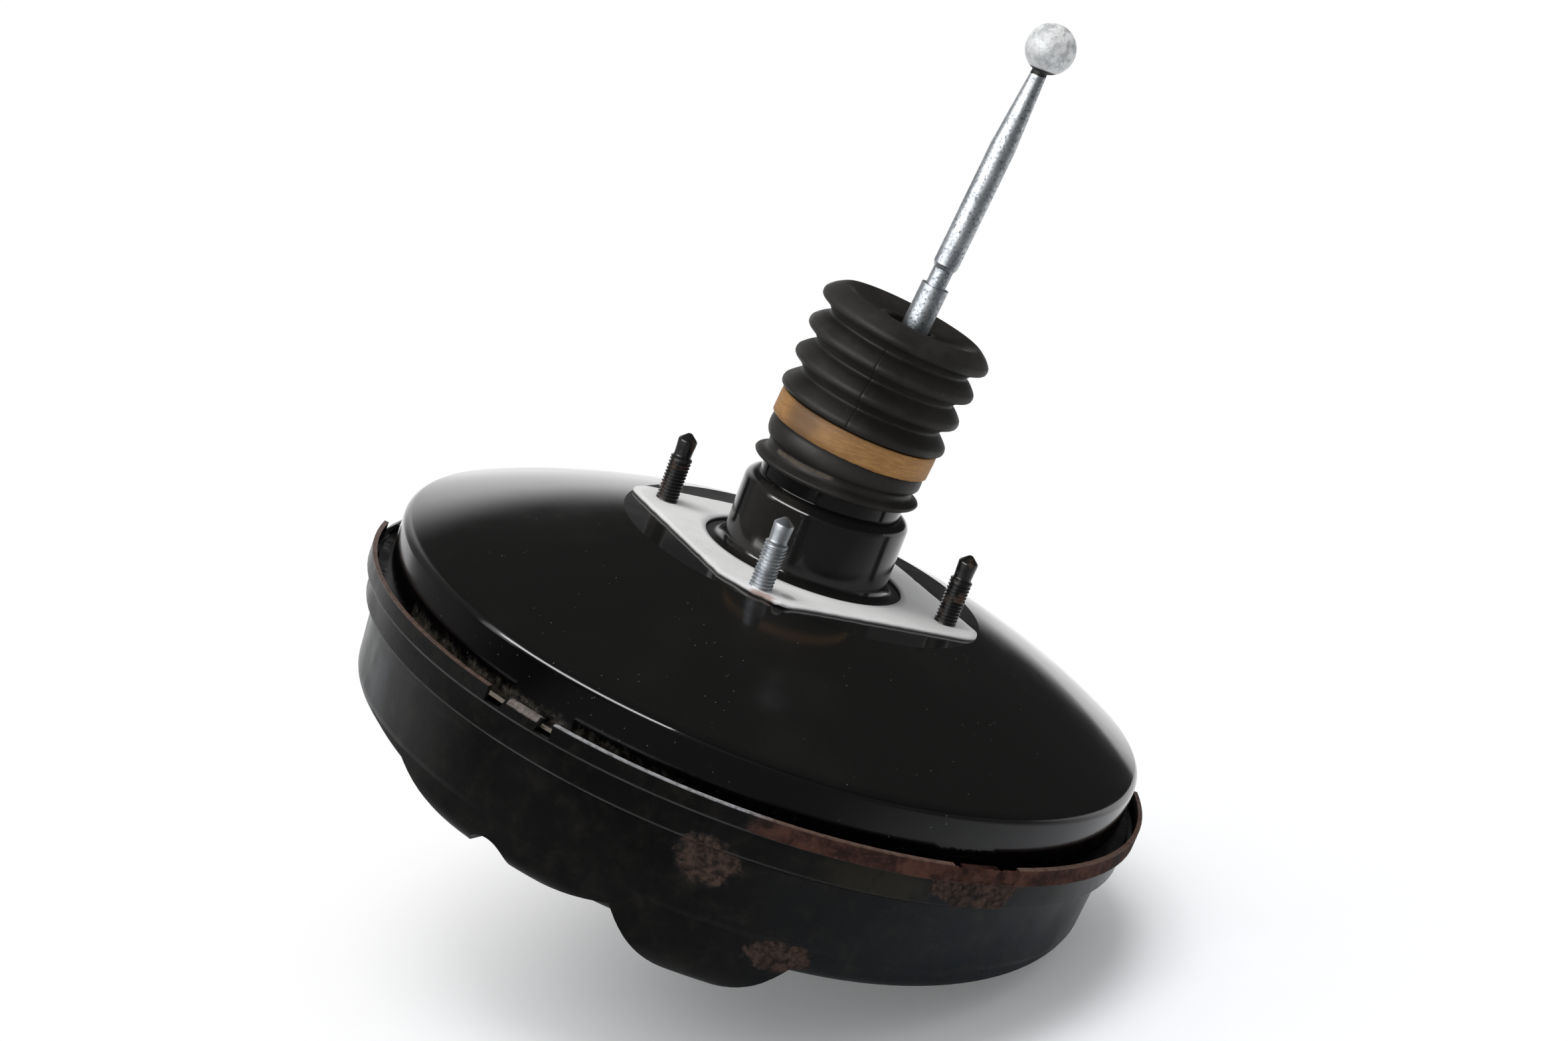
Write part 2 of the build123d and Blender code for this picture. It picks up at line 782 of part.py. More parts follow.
with BuildPart() as upright_input_rod:
    with BuildSketch(Plane.XZ):
        with BuildLine():
            Polyline(
                (inner_rod, ball_contact),
                (inner_rod, collar_bottom),
                (collar_diameter / 2, collar_bottom),
                (collar_diameter / 2, collar_bottom + collar_height),
                (inner_rod, collar_bottom + collar_height),
                (inner_rod, (sleeve_start + sleeve_end) / 2),
                (0, (sleeve_start + sleeve_end) / 2),
                (0, -inner_ball_diameter / 2),
            )
            ThreePointArc(
                (0, -inner_ball_diameter / 2), (inner_ball_diameter / 2, 0), (inner_rod, ball_contact)
            )
        make_face()
    revolve(axis=Axis.Z)
with BuildPart() as input_rod:
    with Locations(rod_plane):
        add(upright_input_rod)
pieces["input_rod"] = input_rod

upright_sleeve = ring(sleeve_inside, sleeve_diameter / 2, sleeve_start, sleeve_end)
with BuildPart() as rod_sleeve:
    with Locations(rod_plane):
        add(upright_sleeve)
pieces["rod_sleeve"] = rod_sleeve

ball_radius = ball_diameter / 2
ball_neck = ball_neck_diameter / 2
neck_contact = ball_height - sqrt(ball_radius**2 - ball_neck**2)
with BuildPart() as upright_pedal_rod:
    with BuildSketch(Plane.XZ):
        with BuildLine():
            Polyline(
                (0, ball_height + ball_radius),
                (0, (sleeve_start + sleeve_end) / 2 + slip),
                (inner_rod, (sleeve_start + sleeve_end) / 2 + slip),
                (inner_rod, sleeve_end + slip),
                (crimp_diameter / 2, sleeve_end + slip),
                (crimp_diameter / 2, crimp_end - (pedal_rod_diameter - crimp_diameter)),
                (pedal_rod_diameter / 2, crimp_end),
                (pedal_rod_diameter / 2, taper_start),
                (ball_neck, neck_contact),
            )
            ThreePointArc(
                (ball_neck, neck_contact), (ball_radius, ball_height), (0, ball_height + ball_radius)
            )
        make_face()
    revolve(axis=Axis.Z)
with BuildPart() as pedal_rod:
    with Locations(rod_plane):
        add(upright_pedal_rod)
pieces["pedal_rod"] = pedal_rod


# Boot: an upright cuff on the neck tube and a leaning bellows, as an outer form less an inner form
boot_plane = leaning(tube_top + boot_rise, boot_lean)
boot_bead_bottom = tube_top - boot_overlap
cuff_radius = tube_radius + cuff_wall
bead_radius = cuff_radius + boot_bead_step
boot_base = cuff_radius + base_step
boot_hole = boot_hole_diameter / 2
boot_lip = boot_hole + boot_lip_width
boot_lip_top = boot_top - boot_dish + boot_lip_height
cuff_top = tube_top + boot_rise + base_start + boot_base * sin(radians(boot_lean)) + slip


def bellows_form(base, low, inset):
    valley = boot_base - valley_depth - inset
    top = boot_top - inset
    outline = [(0, low), (base, low), (base, band_start + band_width)]
    for index in range(ridge_count):
        ridge = boot_base + ridge_height + index * ridge_growth - inset
        height = ridge_start + index * ridge_pitch
        low_crest = height - ridge_crest / 2
        high_crest = height + ridge_crest / 2
        outline += [(ridge - ridge_round / 2, low_crest - ridge_round), (ridge, low_crest)]
        outline += [(ridge, high_crest), (ridge - ridge_round / 2, high_crest + ridge_round)]
        if index < ridge_count - 1:
            middle = height + ridge_pitch / 2
            outline += [(valley, middle - valley_flat / 2), (valley, middle + valley_flat / 2)]
    outline += [(boot_top_diameter / 2, top), (boot_lip, top - boot_dish), (0, top - boot_dish)]
    return turned(*outline)


cuff = turned(
    (0, boot_bead_bottom),
    (bead_radius - boot_bead_height / 3, boot_bead_bottom),
    (bead_radius, boot_bead_bottom + boot_bead_height / 3),
    (bead_radius, boot_bead_bottom + 2 * boot_bead_height / 3),
    (cuff_radius, boot_bead_bottom + boot_bead_height),
    (cuff_radius, cuff_top),
    (0, cuff_top),
)
boot_collar = turned(
    (0, boot_lip_top - boot_sleeve_length),
    (boot_lip, boot_lip_top - boot_sleeve_length),
    (boot_lip, boot_lip_top),
    (0, boot_lip_top),
)
with BuildPart() as boot:
    add(cuff)
    with Locations(boot_plane):
        add(bellows_form(boot_base, base_start, 0))
    with Locations((0, 0, boot_bead_bottom)):
        Cylinder(
            tube_radius + slip,
            boot_overlap + clear,
            align=(Align.CENTER, Align.CENTER, Align.MIN),
            mode=Mode.SUBTRACT,
        )
    with Locations(boot_plane):
        add(
            bellows_form(boot_base - valley_depth - boot_wall, base_start - boot_bead_height, boot_wall),
            mode=Mode.SUBTRACT,
        )
        add(boot_collar)
        Cylinder(boot_hole, 3 * boot_top, mode=Mode.SUBTRACT)
pieces["boot"] = boot

upright_band = ring(
    boot_base + slip, boot_base + band_thickness, band_start, band_start + band_width
)
with BuildPart() as boot_band:
    with Locations(boot_plane):
        add(upright_band)
pieces["boot_band"] = boot_band

os.makedirs("parts", exist_ok=True)
for name, piece in pieces.items():
    piece.part.label = name
    export_step(piece.part, f"parts/{name}.step")
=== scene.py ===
import json
import math

import bmesh
import bpy
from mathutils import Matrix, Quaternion, Vector, noise

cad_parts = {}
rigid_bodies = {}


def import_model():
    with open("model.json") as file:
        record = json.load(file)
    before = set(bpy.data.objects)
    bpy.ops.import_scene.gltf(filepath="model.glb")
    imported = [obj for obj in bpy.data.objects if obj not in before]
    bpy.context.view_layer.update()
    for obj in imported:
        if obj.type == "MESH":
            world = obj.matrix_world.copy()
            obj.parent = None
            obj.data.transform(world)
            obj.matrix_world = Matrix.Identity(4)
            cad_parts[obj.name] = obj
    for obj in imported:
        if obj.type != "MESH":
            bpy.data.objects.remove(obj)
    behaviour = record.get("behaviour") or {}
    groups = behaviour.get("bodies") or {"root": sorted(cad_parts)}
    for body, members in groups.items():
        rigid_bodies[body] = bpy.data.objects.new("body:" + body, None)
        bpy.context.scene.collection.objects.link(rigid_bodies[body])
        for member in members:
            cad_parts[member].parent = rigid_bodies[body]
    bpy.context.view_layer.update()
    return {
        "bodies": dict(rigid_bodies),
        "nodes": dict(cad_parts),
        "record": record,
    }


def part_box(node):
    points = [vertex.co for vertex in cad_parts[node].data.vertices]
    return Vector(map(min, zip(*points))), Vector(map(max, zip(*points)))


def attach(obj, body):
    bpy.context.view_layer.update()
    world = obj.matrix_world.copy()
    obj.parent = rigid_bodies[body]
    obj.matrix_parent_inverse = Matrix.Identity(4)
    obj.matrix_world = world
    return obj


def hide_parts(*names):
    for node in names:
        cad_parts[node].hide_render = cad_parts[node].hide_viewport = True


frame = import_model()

MM = 0.001
nodes = frame["nodes"]
RANGE_KEYS = ("From Min", "From Max", "To Min", "To Max")


# Node trees

class Look:
    """A material with a Principled shader and short calls for the nodes that feed it."""

    def __init__(self, name, **sockets):
        self.name = name
        self.material = bpy.data.materials.new(name)
        self.material.use_nodes = True
        self.tree = self.material.node_tree
        self.tree.nodes.clear()
        self.shader = self.tree.nodes.new("ShaderNodeBsdfPrincipled")
        out = self.tree.nodes.new("ShaderNodeOutputMaterial")
        self.tree.links.new(self.shader.outputs["BSDF"], out.inputs["Surface"])
        self.place = self.tree.nodes.new("ShaderNodeTexCoord").outputs["Object"]
        self.set(**sockets)

    def set(self, **sockets):
        for key, value in sockets.items():
            self.feed(self.shader.inputs[key.replace("_", " ")], value)

    def feed(self, socket, value):
        if isinstance(value, bpy.types.NodeSocket):
            self.tree.links.new(value, socket)
        elif socket.type == "RGBA" and not isinstance(value, (int, float)):
            socket.default_value = (*value, 1.0) if len(value) == 3 else value
        elif socket.type == "RGBA":
            socket.default_value = (value, value, value, 1.0)
        else:
            socket.default_value = value

    def math(self, kind, a, b=0.0):
        node = self.tree.nodes.new("ShaderNodeMath")
        node.operation = kind
        for socket, value in zip(node.inputs, (a, b)):
            self.feed(socket, value)
        return node.outputs[0]

    def split(self):
        """The three coordinates of the place, in metres."""
        node = self.tree.nodes.new("ShaderNodeSeparateXYZ")
        self.feed(node.inputs[0], self.place)
        return node.outputs[:]

    def stretch(self, scale, turn=(0, 0, 0)):
        """The place scaled and turned by degrees, for a drawn-out noise."""
        node = self.tree.nodes.new("ShaderNodeMapping")
        node.inputs["Scale"].default_value = scale
        node.inputs["Rotation"].default_value = [math.radians(a) for a in turn]
        self.feed(node.inputs["Vector"], self.place)
        return node.outputs[0]

    def noise(self, scale, detail, rough, vector=None, bend=0.0):
        node = self.tree.nodes.new("ShaderNodeTexNoise")
        node.inputs["Scale"].default_value = scale
        node.inputs["Detail"].default_value = detail
        node.inputs["Roughness"].default_value = rough
        node.inputs["Distortion"].default_value = bend
        self.feed(node.inputs["Vector"], vector or self.place)
        return node.outputs["Fac"]

    def cells(self, scale, out="Distance"):
        node = self.tree.nodes.new("ShaderNodeTexVoronoi")
        node.inputs["Scale"].default_value = scale
        self.feed(node.inputs["Vector"], self.place)
        return node.outputs[out]

    def fit(self, value, low, high, start=0.0, end=1.0, smooth=True):
        """The value taken from the range low to high into the range start to end."""
        node = self.tree.nodes.new("ShaderNodeMapRange")
        node.interpolation_type = "SMOOTHSTEP" if smooth else "LINEAR"
        for key, number in zip(RANGE_KEYS, (low, high, start, end)):
            self.feed(node.inputs[key], number)
        self.feed(node.inputs["Value"], value)
        return node.outputs[0]

    def mix(self, share, a, b):
        node = self.tree.nodes.new("ShaderNodeMix")
        node.data_type = "RGBA"
        for key, value in ((0, share), (6, a), (7, b)):
            self.feed(node.inputs[key], value)
        return node.outputs[2]

    def distance(self, centre):
        """Distance in metres from a point in mm."""
        node = self.tree.nodes.new("ShaderNodeVectorMath")
        node.operation = "DISTANCE"
        self.feed(node.inputs[0], self.place)
        node.inputs[1].default_value = [c * MM for c in centre]
        return node.outputs["Value"]

    def near(self, centre, reach, soft):
        """1 close to a point in mm, 0 beyond reach mm."""
        return self.fit(self.distance(centre), reach * MM, reach * MM * (1 - soft))

    def bump(self, height, depth, strength):
        """A normal from a height, depth mm deep."""
        node = self.tree.nodes.new("ShaderNodeBump")
        node.inputs["Strength"].default_value = strength
        node.inputs["Distance"].default_value = depth * MM
        self.feed(node.inputs["Height"], height)
        return node.outputs[0]

    def angle(self):
        """Angle round the main axis in degrees."""
        x, y, _ = self.split()
        return self.math("DEGREES", self.math("ARCTAN2", y, x))

    def radius(self):
        """Distance from the main axis in metres."""
        x, y, _ = self.split()
        return self.math("SQRT", self.math("ADD", self.times(x, x), self.times(y, y)))

    def within(self, value, low, high, soft):
        """1 where value lies between low and high, fading to 0 over soft on both sides."""
        return self.times(self.fit(value, low - soft, low), self.fit(value, high + soft, high))

    def times(self, a, b):
        return self.math("MULTIPLY", a, b)

    def most(self, a, b):
        return self.math("MAXIMUM", a, b)

    def ragged(self, mask, grain, low, high, share=0.8):
        """A mask whose edge is broken up by a grain."""
        return self.fit(self.math("ADD", mask, self.times(grain, share)), low, high)

    def streak(self, start, end, width):
        """A mark from one point to another that fades out at its half width, in mm."""
        a, b = Vector(start), Vector(end)
        node = self.tree.nodes.new("ShaderNodeVectorMath")
        node.operation = "SUBTRACT"
        self.feed(node.inputs[0], self.place)
        node.inputs[1].default_value = (a + b) / 2 * MM
        turn = self.tree.nodes.new("ShaderNodeVectorRotate")
        turn.rotation_type = "EULER_XYZ"
        turn.invert = True
        turn.inputs["Rotation"].default_value = Vector((1, 0, 0)).rotation_difference(b - a).to_euler()
        self.tree.links.new(node.outputs[0], turn.inputs["Vector"])
        half = (b - a).length / 2
        size = self.tree.nodes.new("ShaderNodeVectorMath")
        size.operation = "MULTIPLY"
        size.inputs[1].default_value = (1 / (half * MM), 1 / (width * MM), 1 / (width * MM))
        self.tree.links.new(turn.outputs[0], size.inputs[0])
        far = self.tree.nodes.new("ShaderNodeVectorMath")
        far.operation = "LENGTH"
        self.tree.links.new(size.outputs[0], far.inputs[0])
        return self.fit(far.outputs["Value"], 1.0, 0.4)


# Places on the part, in mm: centres as points, and marks as start, end and half width
BALL = (12.54, -8.88, 192.97)
SCRATCHES = (((-24.5, -115.2, -20.0), (-19.5, -117.4, -20.6), 0.32),
             ((-19.0, -118.6, -20.9), (-12.5, -123.6, -22.8), 0.22),
             ((6.5, -131.5, -26.4), (17.5, -134.2, -28.4), 0.26),
             ((-60.0, -84.0, -12.5), (-57.5, -88.5, -13.8), 0.18),
             ((-92.0, -62.0, -14.5), (-89.0, -68.5, -15.6), 0.18))
RUST_SPOTS = (((-85, -108, -60.0), (-61, -123, -62.0), 11.0),
              ((-59, -123, -88.5), (-28, -132.5, -83.6), 6.5),
              ((-15, -140.0, -50.0), (33, -137.5, -51.0), 9.5))
OLIVE_SPOT = ((-50, -132, -51), (0, -141, -51), 9.0)
BAND_STAIN = (-27.6, -9, 52.0)
GASKET_STAIN = (-41.5, -46, 0)
GASKET_SMUDGE = (-30, -43, 0)


def wear(piece, look):
    """Give a piece one look."""
    piece.data.materials.clear()
    piece.data.materials.append(look.material)


def gloss_black():
    look = Look("gloss_black", Specular_IOR_Level=0.36)
    z = look.split()[2]
    turn, out = look.angle(), look.radius()
    haze = look.fit(look.noise(14, 5, 0.6), 0.45, 0.75)
    tone = look.mix(haze, (0.0082, 0.0081, 0.0077), (0.0125, 0.0120, 0.0112))
    # Painted shade on the skirt below the rounded edge, darkened where it mirrors dark surroundings, and pale
    # specks
    # Painted shade: the skirt is made near black, standing in for the dark things it mirrors
    skirt = look.times(look.fit(out, 0.1335, 0.1357), look.fit(z, -0.0265, -0.0290))
    tone = look.mix(skirt, tone, (0.0014, 0.0014, 0.0015))
    grain = look.noise(300, 5, 0.7)
    specks = look.times(look.fit(look.cells(330), 0.10, 0.05), look.fit(look.noise(40, 3, 0.6), 0.50, 0.62))
    tone = look.mix(look.times(specks, 0.8), tone, (0.13, 0.12, 0.105))
    # Dust at the neck's foot and in the groove between the shells
    neck = look.times(look.fit(out, 0.0335, 0.0320), look.within(z, 0.001, 0.024, 0.004))
    neck = look.times(neck, look.fit(look.math("ABSOLUTE", look.math("ADD", turn, 160)), 48, 8))
    neck = look.ragged(neck, grain, 0.75, 1.45)
    groove = look.times(look.within(out, 0.1366, 0.1388, 0.0010), look.fit(z, -0.036, -0.042))
    groove = look.times(groove, look.fit(turn, -95, -150, 0.25, 1.0))
    groove = look.ragged(groove, grain, 0.6, 1.3)
    dust = look.most(look.times(neck, 0.06), groove)
    tone = look.mix(dust, tone, (0.20, 0.172, 0.138))
    # Scratches, and fine scuffs that only dull the gloss
    marks = None
    for start, end, width in SCRATCHES:
        mark = look.streak(start, end, width)
        marks = mark if marks is None else look.most(marks, mark)
    fine = look.fit(look.noise(60, 3, 0.7, look.stretch((1, 26, 1), (0, 0, 35))), 0.69, 0.75)
    tone = look.mix(look.times(marks, look.fit(grain, 0.3, 0.6, 0.2, 0.9)), tone, (0.42, 0.42, 0.42))
    look.set(Base_Color=tone)
    rough = look.fit(look.noise(22, 4, 0.6), 0.35, 0.75, 0.09, 0.18)
    rough = look.math("ADD", rough, look.times(fine, 0.10))
    look.set(Roughness=look.math("ADD", rough, look.times(dust, 0.55)))
    look.set(Normal=look.bump(look.noise(420, 2, 0.5), 0.03, 0.2))
    return look


def satin_black():
    look = Look("satin_black", Specular_IOR_Level=0.11)
    z = look.split()[2]
    turn, out = look.angle(), look.radius()
    grain = look.noise(130, 6, 0.68, bend=0.4)
    fine = look.noise(420, 4, 0.65)
    blotch = look.noise(38, 5, 0.62)
    # Paint: black, bluish low on the near side, with scuffs and flecks, and painted highlights along the rim's
    # rounded edges where they mirror the bright floor
    cloud = look.fit(look.noise(18, 5, 0.6), 0.4, 0.7)
    paint = look.mix(cloud, (0.0040, 0.0039, 0.0040), (0.0078, 0.0076, 0.0076))
    blue = look.times(look.fit(turn, -125, -60), look.fit(z, -0.045, -0.07))
    paint = look.mix(blue, paint, (0.0030, 0.0062, 0.0100))
    scuff = look.fit(look.noise(34, 4, 0.6, look.stretch((1, 1, 5))), 0.60, 0.75, 0, 0.35)
    paint = look.mix(scuff, paint, (0.015, 0.0145, 0.014))
    flecks = look.fit(look.noise(75, 5, 0.7, look.stretch((1, 1, 1.6))), 0.62, 0.72, 0, 0.5)
    paint = look.mix(look.times(blue, flecks), paint, (0.030, 0.036, 0.046))
    # Painted highlights: two thin light lines along the rim's rounded edges, strongest round the left side
    edges = look.most(look.within(z, -0.04668, -0.04620, 0.0004), look.within(z, -0.0563, -0.0558, 0.0004))
    highlight_sides = look.most(look.fit(turn, -92, -150, 0.15, 1.0), look.fit(turn, 90, 140))
    edges = look.times(look.times(edges, look.fit(out, 0.1395, 0.1400)), highlight_sides)
    paint = look.mix(look.times(edges, look.fit(blotch, 0.3, 0.7, 0.45, 1.0)), paint, (0.075, 0.074, 0.074))
    # Rust on the lip and in patches, with an olive stain beside it
    lip = look.times(look.fit(z, -0.0474, -0.0462), look.fit(turn, -127, -116))
    lip = look.times(lip, look.fit(turn, -24, -40))
    rust = look.ragged(lip, grain, 0.95, 1.3, 0.6)
    tone = look.mix(look.fit(grain, 0.35, 0.65), (0.020, 0.0085, 0.0062), (0.082, 0.034, 0.024))
    tone = look.mix(look.fit(fine, 0.60, 0.75, 0, 0.5), tone, (0.15, 0.09, 0.065))
    olive = look.ragged(look.streak(*OLIVE_SPOT), look.times(grain, 3.0), 1.3, 2.6, 1.0)
    paint = look.mix(look.times(olive, 0.7), paint, (0.021, 0.019, 0.012))
    tone = look.mix(look.times(rust, 0.9), paint, tone)
    rough = look.math("ADD", look.times(grain, 3.4), look.times(blotch, 3.0))
    stain = None
    for start, end, width in RUST_SPOTS:
        patch = look.streak(start, end, width)
        patch = look.times(look.fit(patch, 0.0, 0.3), look.ragged(patch, rough, 3.55, 4.05, 1.0))
        stain = patch if stain is None else look.most(stain, patch)
    brown = look.mix(look.fit(fine, 0.35, 0.65), (0.014, 0.0095, 0.0075), (0.072, 0.044, 0.033))
    tone = look.mix(look.times(stain, look.fit(blotch, 0.35, 0.6, 0.45, 0.95)), tone, brown)
    rust = look.most(rust, stain)
    # Bare metal on one tab, and a light line on top of the lip: a painted glint, pale grey over one stretch and
    # brown with rust elsewhere
    bare = look.times(look.within(turn, -153.4, -148.6, 0.5), look.fit(z, -0.0446, -0.0432))
    bare = look.ragged(bare, fine, 0.95, 1.5)
    tone = look.mix(bare, tone, look.mix(fine, (0.055, 0.046, 0.042), (0.26, 0.225, 0.205)))
    # Painted glint: the line on top of the lip is pale grey from -150 to -121 degrees and rust brown elsewhere
    top = look.times(look.fit(z, -0.0412, -0.0408), look.fit(fine, 0.3, 0.6, 0.35, 0.9))
    lip_rust_and_glint = look.mix(look.within(turn, -150, -121, 6), (0.13, 0.085, 0.068), (0.40, 0.40, 0.41))
    tone = look.mix(top, tone, lip_rust_and_glint)
    look.set(Base_Color=tone)
    patches = look.fit(look.noise(30, 4, 0.6), 0.35, 0.7, 0.26, 0.42)
    look.set(Roughness=look.fit(look.most(rust, bare), 0, 1, patches, 0.85, False))
    height = look.math("ADD", look.times(look.noise(500, 3, 0.6), 0.12), look.times(rust, grain))
    look.set(Normal=look.bump(height, 0.5, 0.6))
    return look


def rubber():
    look = Look("rubber", Specular_IOR_Level=0.26)
    z = look.split()[2]
    turn = look.angle()
    cloud = look.fit(look.noise(45, 5, 0.6), 0.35, 0.7)
    grain = look.noise(380, 5, 0.68)
    tone = look.mix(cloud, (0.0175, 0.0155, 0.0135), (0.0290, 0.0258, 0.0225))
    tone = look.mix(look.fit(grain, 0.60, 0.76, 0, 0.75), tone, (0.060, 0.053, 0.045))
    # Dirt in the groove above the bead
    groove = look.times(look.within(z, 0.0360, 0.0372, 0.0008), look.within(turn, -175, -130, 18))
    dirt = look.ragged(groove, look.noise(190, 6, 0.75), 1.06, 1.42)
    tone = look.mix(look.times(dirt, 0.85), tone, look.mix(grain, (0.06, 0.040, 0.024), (0.24, 0.20, 0.155)))
    look.set(Base_Color=tone)
    rough = look.fit(cloud, 0, 1, 0.50, 0.66)
    look.set(Roughness=look.math("ADD", rough, look.times(dirt, 0.3)))
    look.set(Normal=look.bump(look.noise(700, 3, 0.6), 0.12, 0.35))
    return look


def tan_fibre():
    look = Look("tan_fibre", Specular_IOR_Level=0.3)
    grain = look.noise(160, 6, 0.7, look.stretch((1, 1, 7), (5, 0, 0)))
    fleck = look.noise(520, 3, 0.6, look.stretch((1, 1, 3)))
    tone = look.mix(look.fit(grain, 0.3, 0.7), (0.33, 0.155, 0.046), (0.50, 0.265, 0.092))
    tone = look.mix(look.fit(fleck, 0.60, 0.74, 0, 0.5), tone, (0.16, 0.07, 0.02))
    stain = look.near(BAND_STAIN, 19, 1.0)
    stain = look.fit(look.math("ADD", stain, look.times(grain, 0.8)), 0.82, 1.35, 0, 0.62)
    look.set(Base_Color=look.mix(stain, tone, (0.10, 0.055, 0.028)))
    look.set(Roughness=look.fit(grain, 0.3, 0.7, 0.5, 0.72))
    look.set(Normal=look.bump(look.math("ADD", grain, look.times(fleck, 0.4)), 0.25, 0.5))
    return look


def zinc(name, specks):
    """Zinc plating, with specks from 0 to 1 strong; the pedal ball has a pale cracked coat."""
    look = Look(name, Metallic=1.0)
    z = look.split()[2]
    spangle = look.cells(520, out="Color")
    speck = look.noise(1100, 4, 0.7)
    cloud = look.noise(95, 5, 0.62)
    tone = look.mix(look.fit(cloud, 0.35, 0.65), (0.34, 0.365, 0.39), (0.54, 0.565, 0.585))
    tone = look.mix(look.fit(speck, 0.53, 0.64, 0, 0.85 * specks), tone, (0.12, 0.135, 0.15))
    tone = look.mix(look.fit(speck, 0.44, 0.34, 0, 0.7 * specks), tone, (0.66, 0.68, 0.69))
    ball = look.near(BALL, 9.5, 0.06)
    mottle = look.fit(look.noise(330, 5, 0.65), 0.40, 0.60)
    coat = look.times(ball, look.fit(mottle, 0, 1, 0.60, 1.0))
    tone = look.mix(coat, tone, (0.80, 0.805, 0.80))
    veins = look.math("SUBTRACT", look.noise(210, 5, 0.6, bend=0.8), 0.5)
    cracks = look.fit(look.math("ABSOLUTE", veins), 0.018, 0.0)
    tone = look.mix(look.times(look.times(ball, cracks), 0.45), tone, (0.24, 0.25, 0.23))
    tone = look.mix(look.within(z, 0.1838, 0.1858, 0.0004), tone, (0.028, 0.030, 0.028))
    look.set(Metallic=look.fit(coat, 0, 1, 1.0, 0.15))
    look.set(Base_Color=tone)
    rough = look.fit(speck, 0.3, 0.7, 0.50 - 0.10 * specks, 0.50 + 0.10 * specks)
    look.set(Roughness=look.math("ADD", rough, look.times(ball, 0.12)))
    look.set(Normal=look.bump(look.math("ADD", speck, look.times(spangle, 0.3)), 0.12 * specks, 0.6))
    return look


def black_steel():
    look = Look("black_steel", Specular_IOR_Level=0.5)
    grain = look.noise(420, 5, 0.65)
    rust = look.fit(look.noise(170, 4, 0.6), 0.52, 0.66, 0, 0.85)
    look.set(Base_Color=look.mix(rust, look.mix(grain, (0.006, 0.006, 0.006), (0.018, 0.017, 0.016)),
                                 (0.085, 0.040, 0.020)))
    look.set(Roughness=look.fit(rust, 0, 0.85, 0.30, 0.8))
    look.set(Normal=look.bump(grain, 0.12, 0.5))
    return look


def gasket():
    look = Look("gasket", Specular_IOR_Level=0.3)
    z = look.split()[2]
    grain = look.noise(260, 5, 0.65)
    cloud = look.noise(32, 4, 0.6)
    tone = look.mix(look.fit(cloud, 0.3, 0.7), (0.66, 0.655, 0.645), (0.76, 0.755, 0.745))
    tone = look.mix(look.fit(grain, 0.60, 0.76, 0, 0.6), tone, (0.33, 0.315, 0.29))
    stain = look.ragged(look.near(GASKET_STAIN, 12, 0.95), grain, 0.95, 1.35)
    tone = look.mix(look.times(stain, 0.75), tone, (0.30, 0.165, 0.125))
    smudge = look.ragged(look.near(GASKET_SMUDGE, 8, 0.95), grain, 0.95, 1.4)
    tone = look.mix(look.times(smudge, 0.6), tone, (0.17, 0.165, 0.16))
    edge = look.fit(z, -0.0004, -0.0009)
    tone = look.mix(look.times(edge, 0.5), tone, (0.20, 0.19, 0.175))
    look.set(Base_Color=tone)
    look.set(Roughness=0.7)
    look.set(Normal=look.bump(grain, 0.2, 0.5))
    return look


def plain(name, dark, light, metal, rough, scale, fine):
    """A finish for the inside pieces: two tones, a roughness range and a fine grain."""
    look = Look(name, Metallic=metal)
    cloud = look.noise(scale, 5, 0.6)
    grain = look.noise(fine, 3, 0.6)
    look.set(Base_Color=look.mix(look.fit(cloud, 0.35, 0.65), dark, light))
    look.set(Roughness=look.fit(grain, 0.3, 0.7, *rough))
    look.set(Normal=look.bump(grain, 0.12, 0.4))
    return look


looks = {look.name: look for look in (
    gloss_black(), satin_black(), rubber(), tan_fibre(), zinc("zinc", 1.0), zinc("bright_stud", 0.3),
    black_steel(), gasket(),
    plain("steel", (0.30, 0.30, 0.31), (0.48, 0.48, 0.48), 1.0, (0.3, 0.5), 60, 800),
    plain("spring_steel", (0.16, 0.17, 0.19), (0.30, 0.31, 0.33), 1.0, (0.25, 0.45), 90, 900),
    plain("pale_plastic", (0.48, 0.45, 0.38), (0.58, 0.55, 0.48), 0.0, (0.35, 0.5), 40, 700),
    plain("foam", (0.03, 0.03, 0.03), (0.09, 0.09, 0.09), 0.0, (0.85, 0.95), 500, 1500))}

for row in frame["record"]["subparts"]:
    wear(nodes[row["node"]], looks[row["material_slot"]])


# Meshes

WELD = 1e-7


def mesh_piece(name, points, faces, slot, body, *replaced, look=None):
    """A smooth mesh on a body that takes a slot's finish and stands for the CAD nodes it replaces."""
    mesh = bpy.data.meshes.new(name)
    mesh.from_pydata(points, [], faces)
    mesh.validate()
    form = bmesh.new()
    form.from_mesh(mesh)
    bmesh.ops.remove_doubles(form, verts=form.verts, dist=WELD)
    bmesh.ops.recalc_face_normals(form, faces=form.faces)
    form.to_mesh(mesh)
    form.free()
    for polygon in mesh.polygons:
        polygon.use_smooth = True
    piece = bpy.data.objects.new(name, mesh)
    bpy.context.collection.objects.link(piece)
    wear(piece, looks[look or slot])
    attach(piece, body)
    if replaced:
        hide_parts(*replaced)
    return piece


def lathe(rows, around, closed=False, start=0):
    """Faces between rows of points round an axis, from the point with the number start on."""
    faces = []
    for i in range(rows if closed else rows - 1):
        a, b = start + i * around, start + (i + 1) % rows * around
        for k in range(around):
            m = (k + 1) % around
            faces.append((a + k, a + m, b + m, b + k))
    return faces


CREST, FLANK = 0.14, 0.74  # shares of half a thread's pitch
RUN_OUT = 0.8  # pitches over which the thread's upper end fades out


